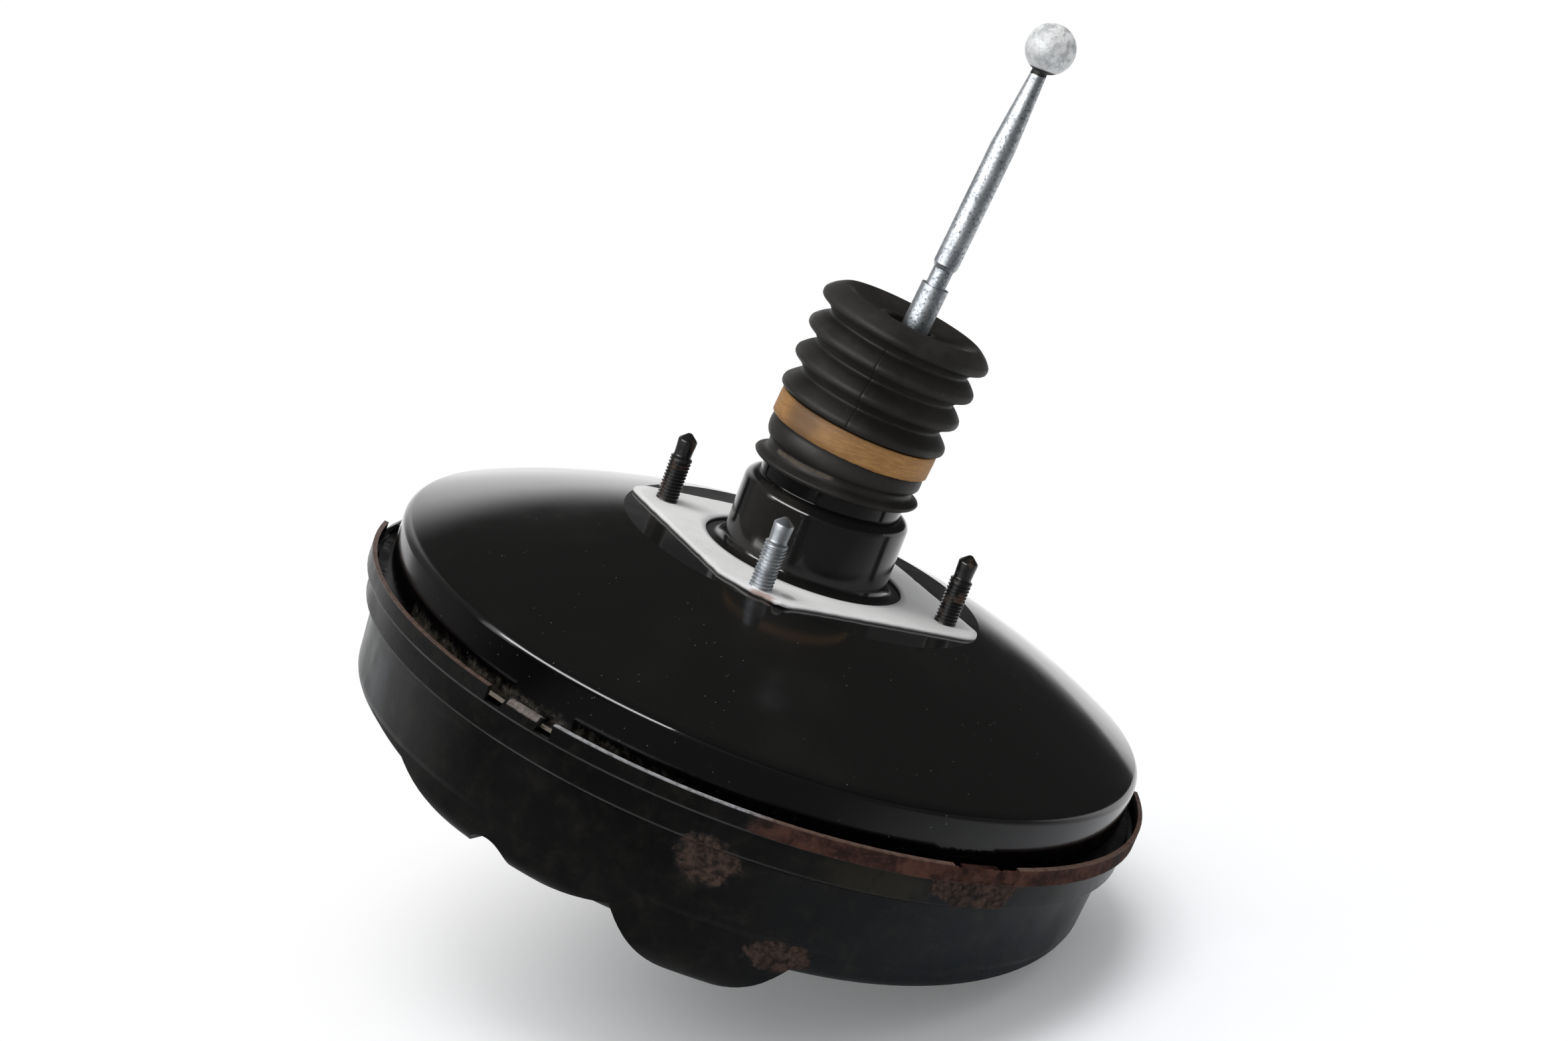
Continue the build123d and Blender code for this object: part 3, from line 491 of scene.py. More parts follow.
def thread_rows(low, high, outer, depth, pitch, around, steps):
    """Rows of a helical thread from low to high, run out at both ends."""
    rows = []
    count = int(round((high - low) / pitch * steps))
    for i in range(count + 1):
        z = low + (high - low) * i / count
        fade = min(1.0, (z - low) / pitch, (high - z) / (RUN_OUT * pitch))
        ring = []
        for k in range(around):
            turn = 2 * math.pi * k / around
            phase = (z / pitch - k / around) % 1.0
            tooth = abs(2 * phase - 1)
            cut = min(1.0, max(0.0, (tooth - CREST) / FLANK))
            r = outer - depth * cut * max(0.0, fade)
            ring.append((r * math.cos(turn), r * math.sin(turn), z))
        rows.append(ring)
    return rows


def ring_row(r, z, around):
    """One ring of points round an axis."""
    turns = [2 * math.pi * k / around for k in range(around)]
    return [(r * math.cos(turn), r * math.sin(turn), z) for turn in turns]


STUD_AROUND = 40
THREAD_STEPS = 9
M8 = (4.0, 0.62, 1.25)  # radius, depth and pitch of the thread
THREAD_GAP = 0.15  # from the seat to where the thread starts
SHANK = 4.3
STUD_CORNER = 38.2  # half the side of the square of firewall studs
STUD_HEAD, STUD_HEAD_TALL = 7.0, 3.0
FRONT_HEAD, FRONT_HEAD_TALL = 6.5, 2.5
FRONT_REACH = 34.0  # length of the front studs outside the hub
FRONT_CIRCLE, FRONT_TURNS = 40.0, (-119, 61)


def stud_mesh(spots, lower, thread, upper, flip=False):
    """Studs at the given spots: plain rows of (radius, height), a thread, plain rows."""
    around = STUD_AROUND
    points, faces = [], []
    rows = [ring_row(r, z, around) for r, z in lower]
    rows += thread_rows(*thread, around, THREAD_STEPS)
    rows += [ring_row(r, z, around) for r, z in upper]
    side = -1 if flip else 1
    for x, y in spots:
        start = len(points)
        for ring in rows:
            points += [((x + px) * MM, (y + side * py) * MM, side * pz * MM) for px, py, pz in ring]
        faces += lathe(len(rows), around, start=start)
        faces.append(tuple(start + k for k in reversed(range(around))))
        faces.append(tuple(start + (len(rows) - 1) * around + k for k in range(around)))
    return points, faces


stud_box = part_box("firewall_studs")
stud_low = stud_box[0][2] / MM
stud_lower = [(STUD_HEAD, stud_low), (STUD_HEAD, stud_low + STUD_HEAD_TALL), (SHANK, stud_low + STUD_HEAD_TALL),
              (SHANK, 0.0), (M8[0], 0.0)]
stud_thread = (THREAD_GAP, 16.0, *M8)
stud_upper = [(3.9, 16.1), (3.2, 16.7), (3.15, 17.2), (3.3, 20.0), (3.45, 22.4), (3.4, 22.9), (3.1, 23.3),
              (0.9, 25.15), (0.5, 25.35), (0.1, 25.4)]
black_spots = [(STUD_CORNER, STUD_CORNER), (-STUD_CORNER, STUD_CORNER), (STUD_CORNER, -STUD_CORNER)]
bright_spot = (-STUD_CORNER, -STUD_CORNER)
points, faces = stud_mesh(black_spots, stud_lower, stud_thread, stud_upper)
mesh_piece("threaded_studs", points, faces, "black_steel", "housing", "firewall_studs")
points, faces = stud_mesh([bright_spot], stud_lower, stud_thread, stud_upper)
mesh_piece("threaded_bright_stud", points, faces, "zinc", "housing", "bright_firewall_stud", look="bright_stud")
front_low, front_high = (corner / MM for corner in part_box("master_cylinder_studs"))
front_end, front_head = -front_low.z, -front_high.z
hub_level, head_top = front_end - FRONT_REACH, front_head + FRONT_HEAD_TALL
front_spots = [(FRONT_CIRCLE * math.cos(math.radians(a)), FRONT_CIRCLE * math.sin(math.radians(a)))
               for a in FRONT_TURNS]
points, faces = stud_mesh(
    front_spots,
    [(FRONT_HEAD, front_head), (FRONT_HEAD, head_top), (SHANK, head_top), (SHANK, hub_level), (M8[0], hub_level)],
    (hub_level + THREAD_GAP, front_end - 1.4, *M8),
    [(3.9, front_end - 1.3), (2.5, front_end - 0.05), (2.3, front_end)], flip=True)
mesh_piece("threaded_front_studs", points, faces, "zinc", "housing", "master_cylinder_studs", look="bright_stud")


# Rear shell: the CAD form turned finely, so that its rounded edge mirrors cleanly

def arc(centre, radius, start, end, steps):
    """Points of an arc between two angles in degrees."""
    turns = [math.radians(start + (end - start) * i / steps) for i in range(steps + 1)]
    return [(centre[0] + radius * math.cos(t), centre[1] + radius * math.sin(t)) for t in turns]


# Outside and inside of the sheet, in mm: the flat pad, the wall under the dome and the neck
AROUND = 288
DOME_STEPS, EDGE_STEPS, BEND_STEPS = 26, 18, 14
PAD_EDGE, PAD_TOP, PAD_UNDER = 66.0, -1.2, -2.8
WALL, WALL_INSIDE = 136.0, 134.4
DOME_FOOT, DOME_FOOT_INSIDE, BULGE = -26.5, -28.1, 2.5
EDGE, EDGE_INSIDE = 4.0, 2.4
FLANGE, FLANGE_TOP, FLANGE_UNDER = 139.6, -45.0, -46.6
NECK_FOOT, NECK_FOOT_INSIDE = 33.6, 32.0
NECK, NECK_INSIDE, NECK_TOP = 25.7, 24.1, 38.0
STEP_BEND = (26.1, 22.0)  # centre of the bend where the neck steps in
HOLE, HOLE_AROUND = 4.5, 40
SHARP_FROM = 9  # degrees


def dome_line(flat, pad, skirt, top, bulge, edge):
    """Dome from the flat's edge to the wall: an arc through three points and a tangent arc as its edge."""
    a, b = Vector((flat, pad)), Vector((skirt, top))
    middle = Vector(((flat + skirt) / 2, (pad + top) / 2 + bulge))
    p, q = middle - a, b - a
    cross = 2 * (p.x * q.y - p.y * q.x)
    p2, q2 = p.length_squared, q.length_squared
    hub = a + Vector((q.y * p2 - p.y * q2, p.x * q2 - q.x * p2)) / cross
    bend = (a - hub).length
    reach = skirt - edge - hub.x
    turn = math.acos(reach / (bend - edge))
    inner = hub + Vector((math.cos(turn), math.sin(turn))) * (bend - edge)
    first = math.degrees(math.atan2(a.y - hub.y, a.x - hub.x))
    return (arc(hub, bend, first, math.degrees(turn), DOME_STEPS)[:-1]
            + arc(inner, edge, math.degrees(turn), 0, EDGE_STEPS))


neck_line = arc((NECK_FOOT, 2.3), 3.5, 270, 180, BEND_STEPS) + arc(STEP_BEND, 4.0, 0, 90, BEND_STEPS)
neck_line += [(NECK, 26.0), (NECK, NECK_TOP), (NECK_INSIDE, NECK_TOP), (NECK_INSIDE, 24.4)]
neck_line += arc(STEP_BEND, 2.4, 90, 0, BEND_STEPS) + arc((NECK_FOOT_INSIDE, 0.7), 3.5, 180, 270, BEND_STEPS)
wall_line = dome_line(PAD_EDGE, PAD_TOP, WALL, DOME_FOOT, BULGE, EDGE)
wall_line += [(WALL, FLANGE_TOP), (FLANGE, FLANGE_TOP), (FLANGE, FLANGE_UNDER), (WALL_INSIDE, FLANGE_UNDER)]
wall_line += reversed(dome_line(PAD_EDGE, PAD_UNDER, WALL_INSIDE, DOME_FOOT_INSIDE, BULGE, EDGE_INSIDE))
points, faces = [], []
for line in (neck_line, wall_line):
    faces += lathe(len(line), AROUND, start=len(points))
    points += [(x * MM, y * MM, z * MM) for r, z in line for x, y, z in ring_row(r, z, AROUND)]
holes = [(x, y) for x in (STUD_CORNER, -STUD_CORNER) for y in (STUD_CORNER, -STUD_CORNER)]
for level, foot in ((PAD_TOP, NECK_FOOT), (PAD_UNDER, NECK_FOOT_INSIDE)):
    form = bmesh.new()
    rings = [((0, 0), foot, AROUND), ((0, 0), PAD_EDGE, AROUND)] + [(spot, HOLE, HOLE_AROUND) for spot in holes]
    for (x, y), r, count in rings:
        loop = [form.verts.new(((x + px) * MM, (y + py) * MM, level * MM)) for px, py, _ in ring_row(r, 0, count)]
        for k in range(count):
            form.edges.new((loop[k], loop[(k + 1) % count]))
    bmesh.ops.triangle_fill(form, use_beauty=True, edges=form.edges[:])
    form.verts.index_update()
    start = len(points)
    points += [tuple(vertex.co) for vertex in form.verts]
    faces += [tuple(start + vertex.index for vertex in face.verts) for face in form.faces]
    form.free()
for x, y in holes:
    faces += lathe(2, HOLE_AROUND, start=len(points))
    for level in (PAD_TOP, PAD_UNDER):
        points += [((x + px) * MM, (y + py) * MM, level * MM) for px, py, _ in ring_row(HOLE, 0, HOLE_AROUND)]
shell = mesh_piece("domed_shell", points, faces, "gloss_black", "housing", "rear_shell")
shell.data.set_sharp_from_angle(angle=math.radians(SHARP_FROM))


# Gasket: a rounded square of soft paper, torn and curled at the bright stud

GASKET_HALF, GASKET_CORNER, GASKET_HOLE, GASKET_THICK = 50.0, 11.0, 36.4, 1.2
GASKET_STEPS, GASKET_ROWS = 220, 9
TORN = ((-50.0, -29.6), (-48.6, -33.0), (-46.7, -36.2), (-45.4, -40.2), (-43.6, -44.3), (-40.6, -45.9),
        (-39.3, -48.4), (-39.9, -52.6), (-38.4, -53.7), (-36.6, -52.6), (-33.6, -51.3), (-28.5, -50.3),
        (-24.8, -50.0))
TORN_PARTS = 4  # points along each side of the torn line
TONGUE, LIFTED = Vector((-38.9, -53.4)), Vector((-45, -42))  # where the torn paper curls up


def gasket_edge():
    """Outer edge of the gasket as points in order of their angle, with the torn corner put in."""
    angles = [math.degrees(math.atan2(y, x)) for x, y in TORN]
    inset = GASKET_HALF - GASKET_CORNER
    edge = []
    for k in range(GASKET_STEPS):
        turn = -180 + 360 * k / GASKET_STEPS
        if angles[0] <= turn <= angles[-1]:
            continue
        way = Vector((math.cos(math.radians(turn)), math.sin(math.radians(turn))))
        near, far = 0.0, 100.0
        for _ in range(40):
            middle = (near + far) / 2
            past = Vector((max(0.0, abs(way.x * middle) - inset), max(0.0, abs(way.y * middle) - inset)))
            near, far = (middle, far) if past.length < GASKET_CORNER else (near, middle)
        rough = 0.35 * noise.noise((way.x * 14, way.y * 14, 2.0))
        rough += 0.2 * noise.noise((way.x * 60, way.y * 60, 5.0))
        edge.append((turn, way * (near + rough)))
    for a, b in zip(TORN, TORN[1:]):
        for k in range(TORN_PARTS):
            spot = Vector(a).lerp(Vector(b), k / TORN_PARTS)
            fray = noise.noise((spot.x, spot.y, 1.0)), noise.noise((spot.x, spot.y, 7.0))
            spot += Vector((0.18 * fray[0], 0.18 * fray[1]))
            edge.append((math.degrees(math.atan2(spot.y, spot.x)), spot))
    return [spot for turn, spot in sorted(edge, key=lambda row: row[0])]


edge = gasket_edge()
count = len(edge)
points, faces = [], []
for thick in (GASKET_THICK, 0.0):
    faces += lathe(GASKET_ROWS + 1, count, start=len(points))
    for i in range(GASKET_ROWS + 1):
        for spot in edge:
            way = spot.normalized()
            p = way * GASKET_HOLE + (spot - way * GASKET_HOLE) * (i / GASKET_ROWS)
            tongue = max(0.0, 1 - (p - TONGUE).length / 7.5)
            curl = 1.6 * tongue ** 1.5 + 0.35 * max(0.0, 1 - (p - LIFTED).length / 7)
            wave = 0.12 * noise.noise((p.x * 0.11, p.y * 0.11, 4.0)) if i else 0.0
            round_off = 0.22 if i == GASKET_ROWS and thick else 0.0
            z = -GASKET_THICK + thick - round_off + curl + max(0.0, wave)
            points.append((p.x * MM, p.y * MM, z * MM))
below = len(points) // 2
for row in (0, GASKET_ROWS * count):
    for k in range(count):
        m = (k + 1) % count
        faces.append((row + k, row + m, below + row + m, below + row + k))
mesh_piece("paper_gasket", points, faces, "gasket", "housing", "firewall_gasket")


# Rust scale that fills the window of the rusted tab

WINDOW_TURN, WINDOW_HALF = -86.5, 5.6  # degrees
SCALE_LOW, SCALE_TOP = -46.3, -41.1
SCALE_INSIDE, SCALE_THICK = 142.1, 0.75
COLUMNS, LEVELS = 56, 9

points, faces = [], []
for layer in (0, 1):
    for j in range(LEVELS + 1):
        for i in range(COLUMNS + 1):
            turn = math.radians(WINDOW_TURN - WINDOW_HALF + 2 * WINDOW_HALF * i / COLUMNS)
            top = SCALE_TOP - 1.5 * abs(noise.noise((i * 0.21, 2.0, 0.0)))
            top -= 0.8 * max(0.0, noise.noise((i * 0.7, 5.0, 0.0)))
            z = SCALE_LOW + (top - SCALE_LOW) * j / LEVELS
            r = SCALE_INSIDE + SCALE_THICK * (1 - layer)
            r += 0.35 * noise.noise((i * 0.35, j * 0.5, layer * 3.0))
            points.append((r * math.cos(turn) * MM, r * math.sin(turn) * MM, z * MM))
layer_size = (COLUMNS + 1) * (LEVELS + 1)
for layer in (0, 1):
    for j in range(LEVELS):
        for i in range(COLUMNS):
            a = layer * layer_size + j * (COLUMNS + 1) + i
            faces.append((a, a + 1, a + COLUMNS + 2, a + COLUMNS + 1))
rim_loop = list(range(COLUMNS)) + [j * (COLUMNS + 1) + COLUMNS for j in range(LEVELS)]
rim_loop += [LEVELS * (COLUMNS + 1) + i for i in range(COLUMNS, 0, -1)]
rim_loop += [j * (COLUMNS + 1) for j in range(LEVELS, 0, -1)]
for a, b in zip(rim_loop, rim_loop[1:] + rim_loop[:1]):
    faces.append((a, b, layer_size + b, layer_size + a))
mesh_piece("rust_scale", points, faces, "satin_black", "housing")


# Boot: rings on a bent axis that leans with the rods

BOOT_BASE = Vector((0, 0, 41.0))
LEAN_TURN = math.radians(-35.3)
LEAN_WAY = Vector((math.cos(LEAN_TURN), math.sin(LEAN_TURN), 0))
LOW_LEAN, HIGH_LEAN, LEAN_LENGTH = 3.9, 6.9, 55.0  # degrees at the base and LEAN_LENGTH mm above it
BEAD_FADE = 6.0  # the bead below the base turns level over this height
AXIS_STEPS = 24
BOOT_AROUND, BAND_AROUND = 112, 180
FOLDS_LOW, FOLDS_MIDDLE, FOLDS_TALL = 13.5, 27, 36.0
SEAM, SEAM_TOP, SEAM_DEPTH, SEAM_WIDTH = -131.5, 43, 0.35, 0.5
SEAM_STEPS = (-3, -1.4, -0.8, -0.4, 0, 0.4, 0.8, 1.4, 3)
BOOT_INSIDE = 25.2
CRESTS, FIRST_CREST, CREST_STEP = 4, (30.7, 15.5), (0.25, 10.8)


def leaning(lean):
    """Direction that leans from the main axis by an angle in radians."""
    return Vector((LEAN_WAY.x * math.sin(lean), LEAN_WAY.y * math.sin(lean), math.cos(lean)))


def boot_lean(s):
    """Lean of the boot's axis in radians, s mm along it."""
    return math.radians(LOW_LEAN + (HIGH_LEAN - LOW_LEAN) * min(1.0, s / LEAN_LENGTH))


def boot_axis(s):
    """Point on the boot's bent axis and its direction, s mm along it."""
    if s <= 0:
        return BOOT_BASE + Vector((0, 0, s)), leaning(math.radians(LOW_LEAN) * max(0.0, 1 + s / BEAD_FADE))
    spot = BOOT_BASE.copy()
    for i in range(AXIS_STEPS):
        spot += leaning(boot_lean(s * (i + 0.5) / AXIS_STEPS)) * (s / AXIS_STEPS)
    return spot, leaning(boot_lean(s))


def smooth_line(line, step=0.7):
    """A rounded line through (r, s) points, resampled about every step mm."""
    tension = 0.42
    out = []
    count = len(line)
    for i in range(count - 1):
        a, b = line[max(0, i - 1)], line[i]
        c, d = line[i + 1], line[min(count - 1, i + 2)]
        length = math.hypot(c[0] - b[0], c[1] - b[1])
        parts = max(1, int(length / step + 0.5))
        for k in range(parts):
            t = k / parts
            h0, h1 = 2 * t ** 3 - 3 * t ** 2 + 1, t ** 3 - 2 * t ** 2 + t
            h2, h3 = -2 * t ** 3 + 3 * t ** 2, t ** 3 - t ** 2
            spot = []
            for axis in (0, 1):
                m0 = (c[axis] - a[axis]) * tension
                m1 = (d[axis] - b[axis]) * tension
                spot.append(h0 * b[axis] + h1 * m0 + h2 * c[axis] + h3 * m1)
            out.append(tuple(spot))
    out.append(line[-1])
    return out


def boot_outline():
    """The boot's closed section as (radius, height along its axis): bead, four folds, dished top, inside."""
    outer = [(25.8, -10.0), (28.4, -9.8), (29.7, -8.9), (30.0, -8.3), (29.7, -7.8), (28.4, -7.2), (27.0, -6.6),
             (26.4, -5.6), (26.3, -4.4), (26.6, -3.4), (27.6, -2.6), (28.3, -1.4), (28.5, 0.2), (28.4, 2.0),
             (28.0, 3.4), (27.5, 4.0), (27.5, 8.5), (27.5, 13.0)]
    crests = [(FIRST_CREST[0] + CREST_STEP[0] * i, FIRST_CREST[1] + CREST_STEP[1] * i) for i in range(CRESTS)]
    for i, (r, s) in enumerate(crests):
        if i:
            outer += [(25.9, s - 5.3), (26.2, s - 4.8), (27.6, s - 3.3)]
        outer += [(r - 0.75, s - 1.75), (r - 0.1, s - 0.9), (r, s), (r - 0.25, s + 0.9), (r - 1.1, s + 1.9)]
        if i < CRESTS - 1:
            outer += [(r - 2.6, s + 3.3), (26.3, s + 4.9)]
    outer += [(29.2, 50.9), (27.2, 52.25), (25.9, 52.9), (25.0, 53.05), (24.2, 52.9), (22.4, 52.25), (19.5, 51.1),
              (15.5, 50.25), (12.4, 49.82), (11.1, 49.75), (10.7, 49.9), (10.5, 50.2), (10.0, 50.38), (9.2, 50.3),
              (8.7, 50.0), (8.6, 49.6)]
    inner = [(8.6, 45.5), (8.7, 41.6), (9.4, 41.2), (10.3, 41.6), (10.5, 46.4), (12.0, 47.5), (19.0, 48.5),
             (24.4, 50.4), (27.2, 49.7)]
    for i, (r, s) in reversed(list(enumerate(crests))):
        inner += [(r - 2.4, s + 1.0), (r - 2.1, s), (r - 2.4, s - 1.0)]
        if i:
            inner += [(24.3, s - 4.9), (24.0, s - 5.3), (24.3, s - 5.9)]
    inner += [(BOOT_INSIDE, 13.0), (BOOT_INSIDE, 4.0), (25.0, 0.0), (25.8, -2.4)]
    return smooth_line(outer) + smooth_line(inner, 1.6)[:-1]


def boot_point(r, s, turn):
    """Point at a radius and angle about the boot's axis, s mm along it."""
    spot, way = boot_axis(s)
    side = Vector((0, 0, 1)).rotation_difference(way)
    return (spot + side @ Vector((r * math.cos(turn), r * math.sin(turn), 0))) * MM


turns = [360 * k / BOOT_AROUND - 180 for k in range(BOOT_AROUND)]
turns = [t for t in turns if abs(t - SEAM) > SEAM_STEPS[-1]] + [SEAM + a for a in SEAM_STEPS]
turns = [math.radians(t) for t in sorted(turns)]
points = []
outline = boot_outline()
for r, s in outline:
    for turn in turns:
        seam = sag = 0.0
        if FOLDS_LOW < s < SEAM_TOP and r > BOOT_INSIDE:
            seam = -SEAM_DEPTH * math.exp(-(((math.degrees(turn) - SEAM) / SEAM_WIDTH) ** 2))
        if s > FOLDS_LOW:
            sag = 0.16 * noise.noise((2.2 * math.cos(turn), 2.2 * math.sin(turn), s * 0.12))
        points.append(boot_point(r + seam + sag, s, turn))
faces = lathe(len(outline), len(turns), True)
boot = mesh_piece("boot_bellows", points, faces, "rubber", "housing", "boot")


# Soft and springy pieces follow a second body

GRIP_RADIUS, GRIP_LOW = 12, 30  # what lies inside and above this on the boot moves with the rod
DIAPHRAGM_CLAMP = 131.0
PLATE_MARGIN = 2.0
SPRING_END, ROD_SPRING_END = 4.0, 1.5  # the springs' end coils, which do not stretch


def follow(piece, body, share):
    """Let a piece follow a second body by share(point in mm), which runs from 0 to 1."""
    group = piece.vertex_groups.new(name="follow")
    for vertex in piece.data.vertices:
        group.add([vertex.index], min(1.0, max(0.0, share(vertex.co / MM))), "REPLACE")
    hook = piece.modifiers.new("follow", "HOOK")
    hook.object = frame["bodies"][body]
    hook.vertex_group = group.name
    hook.falloff_type = "NONE"
    hook.strength = 1.0


boot_way = boot_axis(FOLDS_MIDDLE)[1]


def boot_share(point):
    """The boot's folds share the movement between the band and the top."""
    spot = point - BOOT_BASE
    along = spot.dot(boot_way)
    if (spot - boot_way * along).length < GRIP_RADIUS and along > GRIP_LOW:
        return 1.0
    return (along - FOLDS_LOW) / FOLDS_TALL


def spring_share(name, margin):
    """0 at the spring's upper end, 1 at its lower end."""
    low, high = (corner.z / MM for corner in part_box(name))
    return lambda point: (high - margin - point.z) / (high - low - 2 * margin)


follow(boot, "push_rod", boot_share)
follow(nodes["return_spring"], "housing", spring_share("return_spring", SPRING_END))
plate_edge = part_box("diaphragm_plate")[1].x / MM + PLATE_MARGIN
follow(nodes["diaphragm"], "power_piston",
       lambda point: (DIAPHRAGM_CLAMP - point.xy.length) / (DIAPHRAGM_CLAMP - plate_edge))
follow(nodes["rod_return_spring"], "power_piston", spring_share("rod_return_spring", ROD_SPRING_END))


# Fibre band round the lower end of the boot, its lower edge rougher than its upper one

band_outline = [(27.62, 4.1), (28.8, 4.0), (29.15, 4.25), (29.2, 6.5), (29.2, 10.5), (29.1, 12.7), (28.8, 12.95),
                (27.62, 12.9)]
BAND_LOWER = 6
points = []
for r, s in band_outline:
    for k in range(BAND_AROUND):
        turn = 2 * math.pi * k / BAND_AROUND
        x, y = math.cos(turn), math.sin(turn)
        rough = noise.noise((9 * x, 9 * y, 3.0)) * 0.22
        fine = noise.noise((40 * x, 40 * y, 8.0)) * 0.12
        wave = 0.12 * noise.noise((4 * x, 4 * y, s * 0.2))
        points.append(boot_point(r + wave, s + (rough + fine if s < BAND_LOWER else 0.35 * rough), turn))
faces = lathe(len(band_outline), BAND_AROUND, True)
mesh_piece("fibre_band", points, faces, "tan_fibre", "housing", "boot_band")


# Stage, light and camera

CAMERA_SPOT = Vector((-0.46030, -0.67648, 0.21686))
CAMERA_TURN = Quaternion((0.784067, 0.546870, -0.280612, -0.086193))
LENS, SENSOR = 55.597, 36.0
FLOOR_UP = Vector((-0.2920, 0.1875, 0.9379)).normalized()
FLOOR_HALF = 3.0
CONTACT = (45, -98, -103)  # mm, middle of the contact with the floor
SHADOW_NEAR, SHADOW_FAR = 0.06, 0.25  # metres from there over which the shadow fades out
CONTACT_GLOW = 0.12
AMBIENT, AMBIENT_TINT = 0.55, (0.97, 0.985, 1.0)
WHITE = (1, 1, 1)
KEY_SIZE, KEY_POWER = (0.5, 1.0), 12.5
WINDOW_SIZE, WINDOW_POWER = (1.5, 0.30), 25.0
SIDE_SIZE, SIDE_POWER = (0.34, 0.75), 1.6

camera_right = CAMERA_TURN @ Vector((1, 0, 0))
camera_ahead = CAMERA_TURN @ Vector((0, 0, -1))
camera_up = CAMERA_TURN @ Vector((0, 1, 0))
level_ahead = (camera_ahead - FLOOR_UP * camera_ahead.dot(FLOOR_UP)).normalized()
world = bpy.data.worlds.new("studio")
bpy.context.scene.world = world
world.use_nodes = True
world_tree = world.node_tree
world_tree.nodes.clear()
coords = world_tree.nodes.new("ShaderNodeTexCoord").outputs["Generated"]


def along(tree, vector, way):
    """How far a vector reaches along way."""
    node = tree.nodes.new("ShaderNodeVectorMath")
    node.operation = "DOT_PRODUCT"
    node.inputs[1].default_value = way
    tree.links.new(vector, node.inputs[0])
    return node.outputs["Value"]


def sky_share(way, low, high, start, end):
    """A smooth share by how far a direction points along way."""
    node = world_tree.nodes.new("ShaderNodeMapRange")
    node.interpolation_type = "SMOOTHSTEP"
    for key, number in zip(RANGE_KEYS, (low, high, start, end)):
        node.inputs[key].default_value = number
    world_tree.links.new(along(world_tree, coords, way), node.inputs["Value"])
    return node.outputs[0]


def backdrop(colour, strength):
    """A plain background, its strength a number or a socket."""
    node = world_tree.nodes.new("ShaderNodeBackground")
    node.inputs["Color"].default_value = (*colour, 1)
    if isinstance(strength, bpy.types.NodeSocket):
        world_tree.links.new(strength, node.inputs["Strength"])
    else:
        node.inputs["Strength"].default_value = strength
    return node.outputs[0]


def choose(tree, share, a, b):
    """Shader a where the share is 0, shader b where it is 1."""
    node = tree.nodes.new("ShaderNodeMixShader")
    for socket, value in zip(node.inputs, (share, a, b)):
        tree.links.new(value, socket)
    return node.outputs[0]


# Mirrored surroundings: a white backdrop behind, a dimmer room in front and far left, a dark ceiling
sky, *shares = (sky_share(FLOOR_UP + camera_right * 0.8, 0.12, 0.38, 1.35, 0.03),
                sky_share(level_ahead, -0.35, 0.25, 0.2, 1.0),
                sky_share(camera_right, -0.7, -0.3, 0.15, 1.0))
for share in shares:
    product = world_tree.nodes.new("ShaderNodeMath")
    product.operation = "MULTIPLY"
    world_tree.links.new(sky, product.inputs[0])
    world_tree.links.new(share, product.inputs[1])
    sky = product.outputs[0]
rays = world_tree.nodes.new("ShaderNodeLightPath").outputs
seen = backdrop(WHITE, 1.0)
light = choose(world_tree, rays["Is Glossy Ray"], backdrop(AMBIENT_TINT, AMBIENT), backdrop(WHITE, sky))
light = choose(world_tree, rays["Is Transmission Ray"], light, seen)
light = choose(world_tree, rays["Is Camera Ray"], light, seen)
world_tree.links.new(light, world_tree.nodes.new("ShaderNodeOutputWorld").inputs["Surface"])

lowest = min(vertex.co.dot(FLOOR_UP) for node in nodes.values() for vertex in node.data.vertices)
floor_x = FLOOR_UP.orthogonal().normalized()
floor_y = FLOOR_UP.cross(floor_x)
corners = [FLOOR_UP * lowest + floor_x * a * FLOOR_HALF + floor_y * b * FLOOR_HALF
           for a, b in ((-1, -1), (1, -1), (1, 1), (-1, 1))]
floor_mesh = bpy.data.meshes.new("floor")
floor_mesh.from_pydata(corners, [], [(0, 1, 2, 3)])
floor = bpy.data.objects.new("floor", floor_mesh)
bpy.context.collection.objects.link(floor)

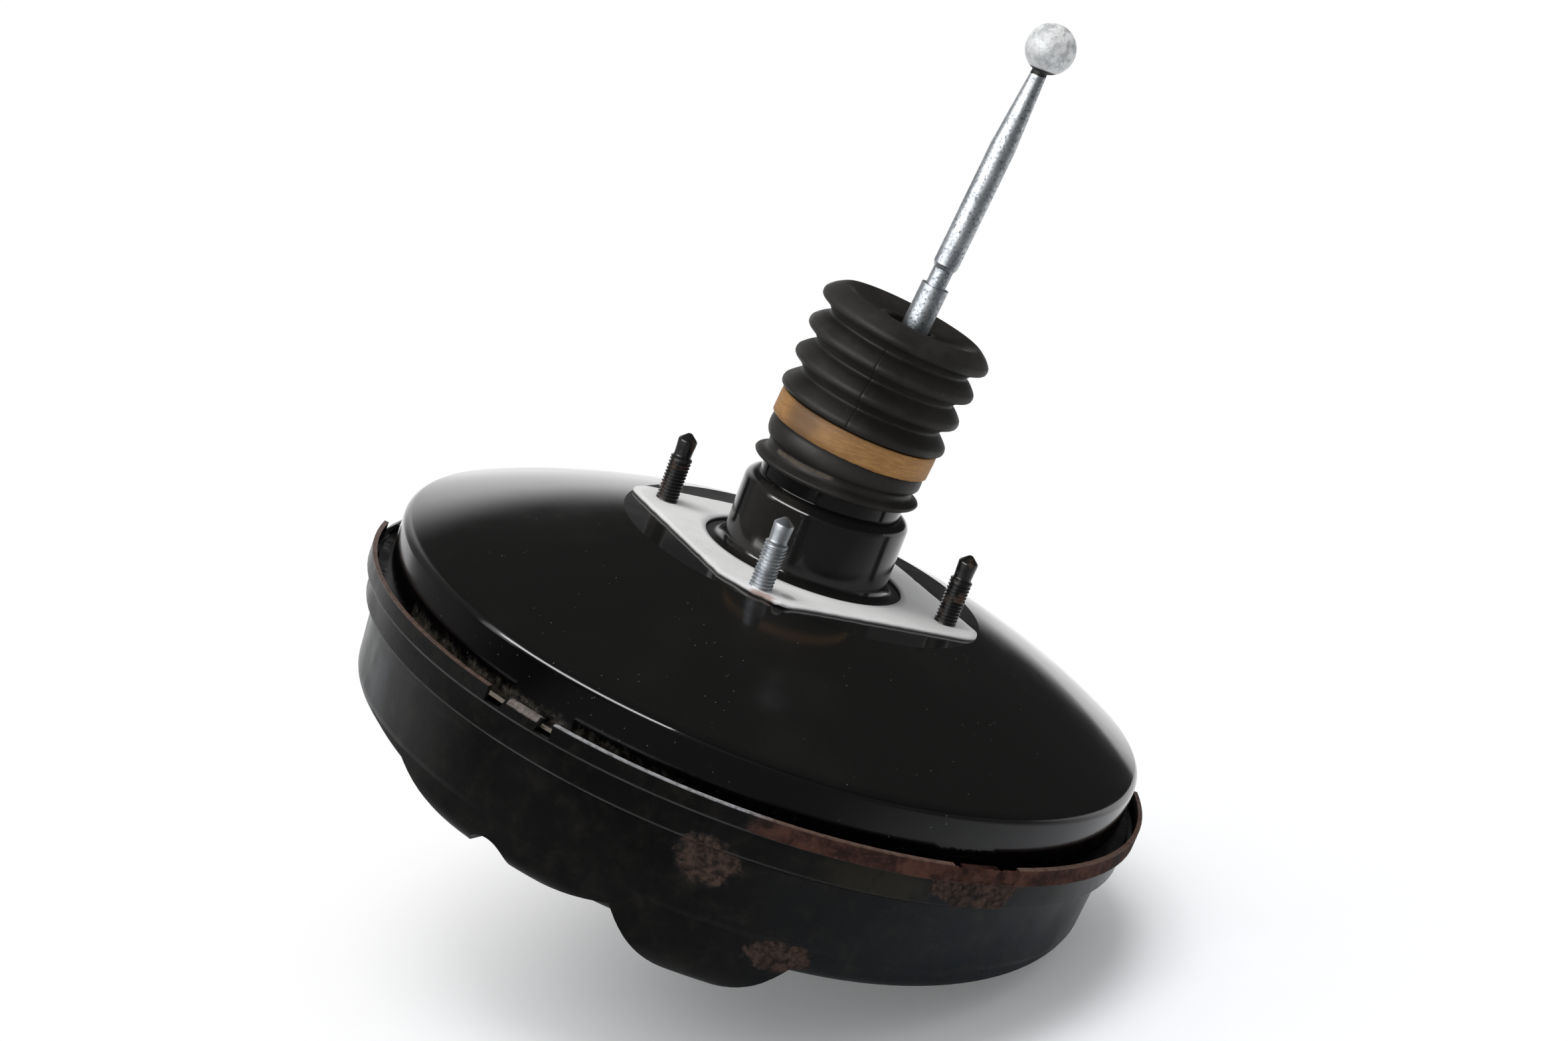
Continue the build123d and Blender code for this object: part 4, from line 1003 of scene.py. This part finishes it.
# The floor as it is seen: its shadow near the contact, then plain white. It lights the part by its colour alone
look = Look("floor", Specular_IOR_Level=0.0, Roughness=0.9)
look.set(Base_Color=look.mix(look.noise(30, 3, 0.5), (0.86, 0.87, 0.895), (0.91, 0.92, 0.945)))
rays = look.tree.nodes.new("ShaderNodeLightPath").outputs
seen = look.most(rays["Is Camera Ray"], look.most(rays["Is Glossy Ray"], rays["Is Transmission Ray"]))
away = look.fit(look.distance(CONTACT), SHADOW_NEAR, SHADOW_FAR)
front = look.fit(along(look.tree, look.place, level_ahead), -0.15, 0.15, 0.2, 1.2)
dim = look.fit(rays["Is Glossy Ray"], 0, 1, 1.0, front, False)
glow = look.tree.nodes.new("ShaderNodeEmission")
look.feed(glow.inputs["Strength"], look.times(look.fit(away, 0, 1, CONTACT_GLOW, 1.0, False), dim))
lifted = look.tree.nodes.new("ShaderNodeAddShader")
look.feed(lifted.inputs[0], look.shader.outputs[0])
look.feed(lifted.inputs[1], glow.outputs[0])
faded = choose(look.tree, away, lifted.outputs[0], glow.outputs[0])
final = choose(look.tree, seen, look.shader.outputs[0], faded)
look.feed(look.tree.nodes["Material Output"].inputs["Surface"], final)
wear(floor, look)


def lamp(name, spot, aim, size, power):
    """A rectangular lamp that points from a spot to an aim."""
    data = bpy.data.lights.new(name, "AREA")
    data.shape = "RECTANGLE"
    data.size, data.size_y = size
    data.energy = power
    item = bpy.data.objects.new(name, data)
    bpy.context.collection.objects.link(item)
    item.location = spot
    item.rotation_mode = "QUATERNION"
    item.rotation_quaternion = (Vector(aim) - Vector(spot)).to_track_quat("-Z", "Y")
    return item


# The key lights the colours, the window is what the gloss mirrors
key_spot = camera_up * 1.30 - camera_ahead * 0.45 - camera_right * 0.10
key = lamp("key", key_spot, (0, 0, 0), KEY_SIZE, KEY_POWER)
key.visible_glossy = False
window_spot = (camera_right * -0.64 - camera_ahead * 0.72 + camera_up * 0.27) * 1.42
window = lamp("window", window_spot, (0, 0, 0), WINDOW_SIZE, WINDOW_POWER)
window.visible_diffuse = False
side_spot = camera_right * -1.25 - level_ahead * 0.3 + FLOOR_UP * 0.65
lamp("side", side_spot, (0, 0, 0.05), SIDE_SIZE, SIDE_POWER)

view = bpy.data.cameras.new("camera")
view.lens, view.sensor_width = LENS, SENSOR
camera = bpy.data.objects.new("camera", view)
bpy.context.collection.objects.link(camera)
camera.location = CAMERA_SPOT
camera.rotation_mode = "QUATERNION"
camera.rotation_quaternion = CAMERA_TURN
bpy.context.scene.camera = camera
bpy.context.scene.view_settings.view_transform = "Standard"
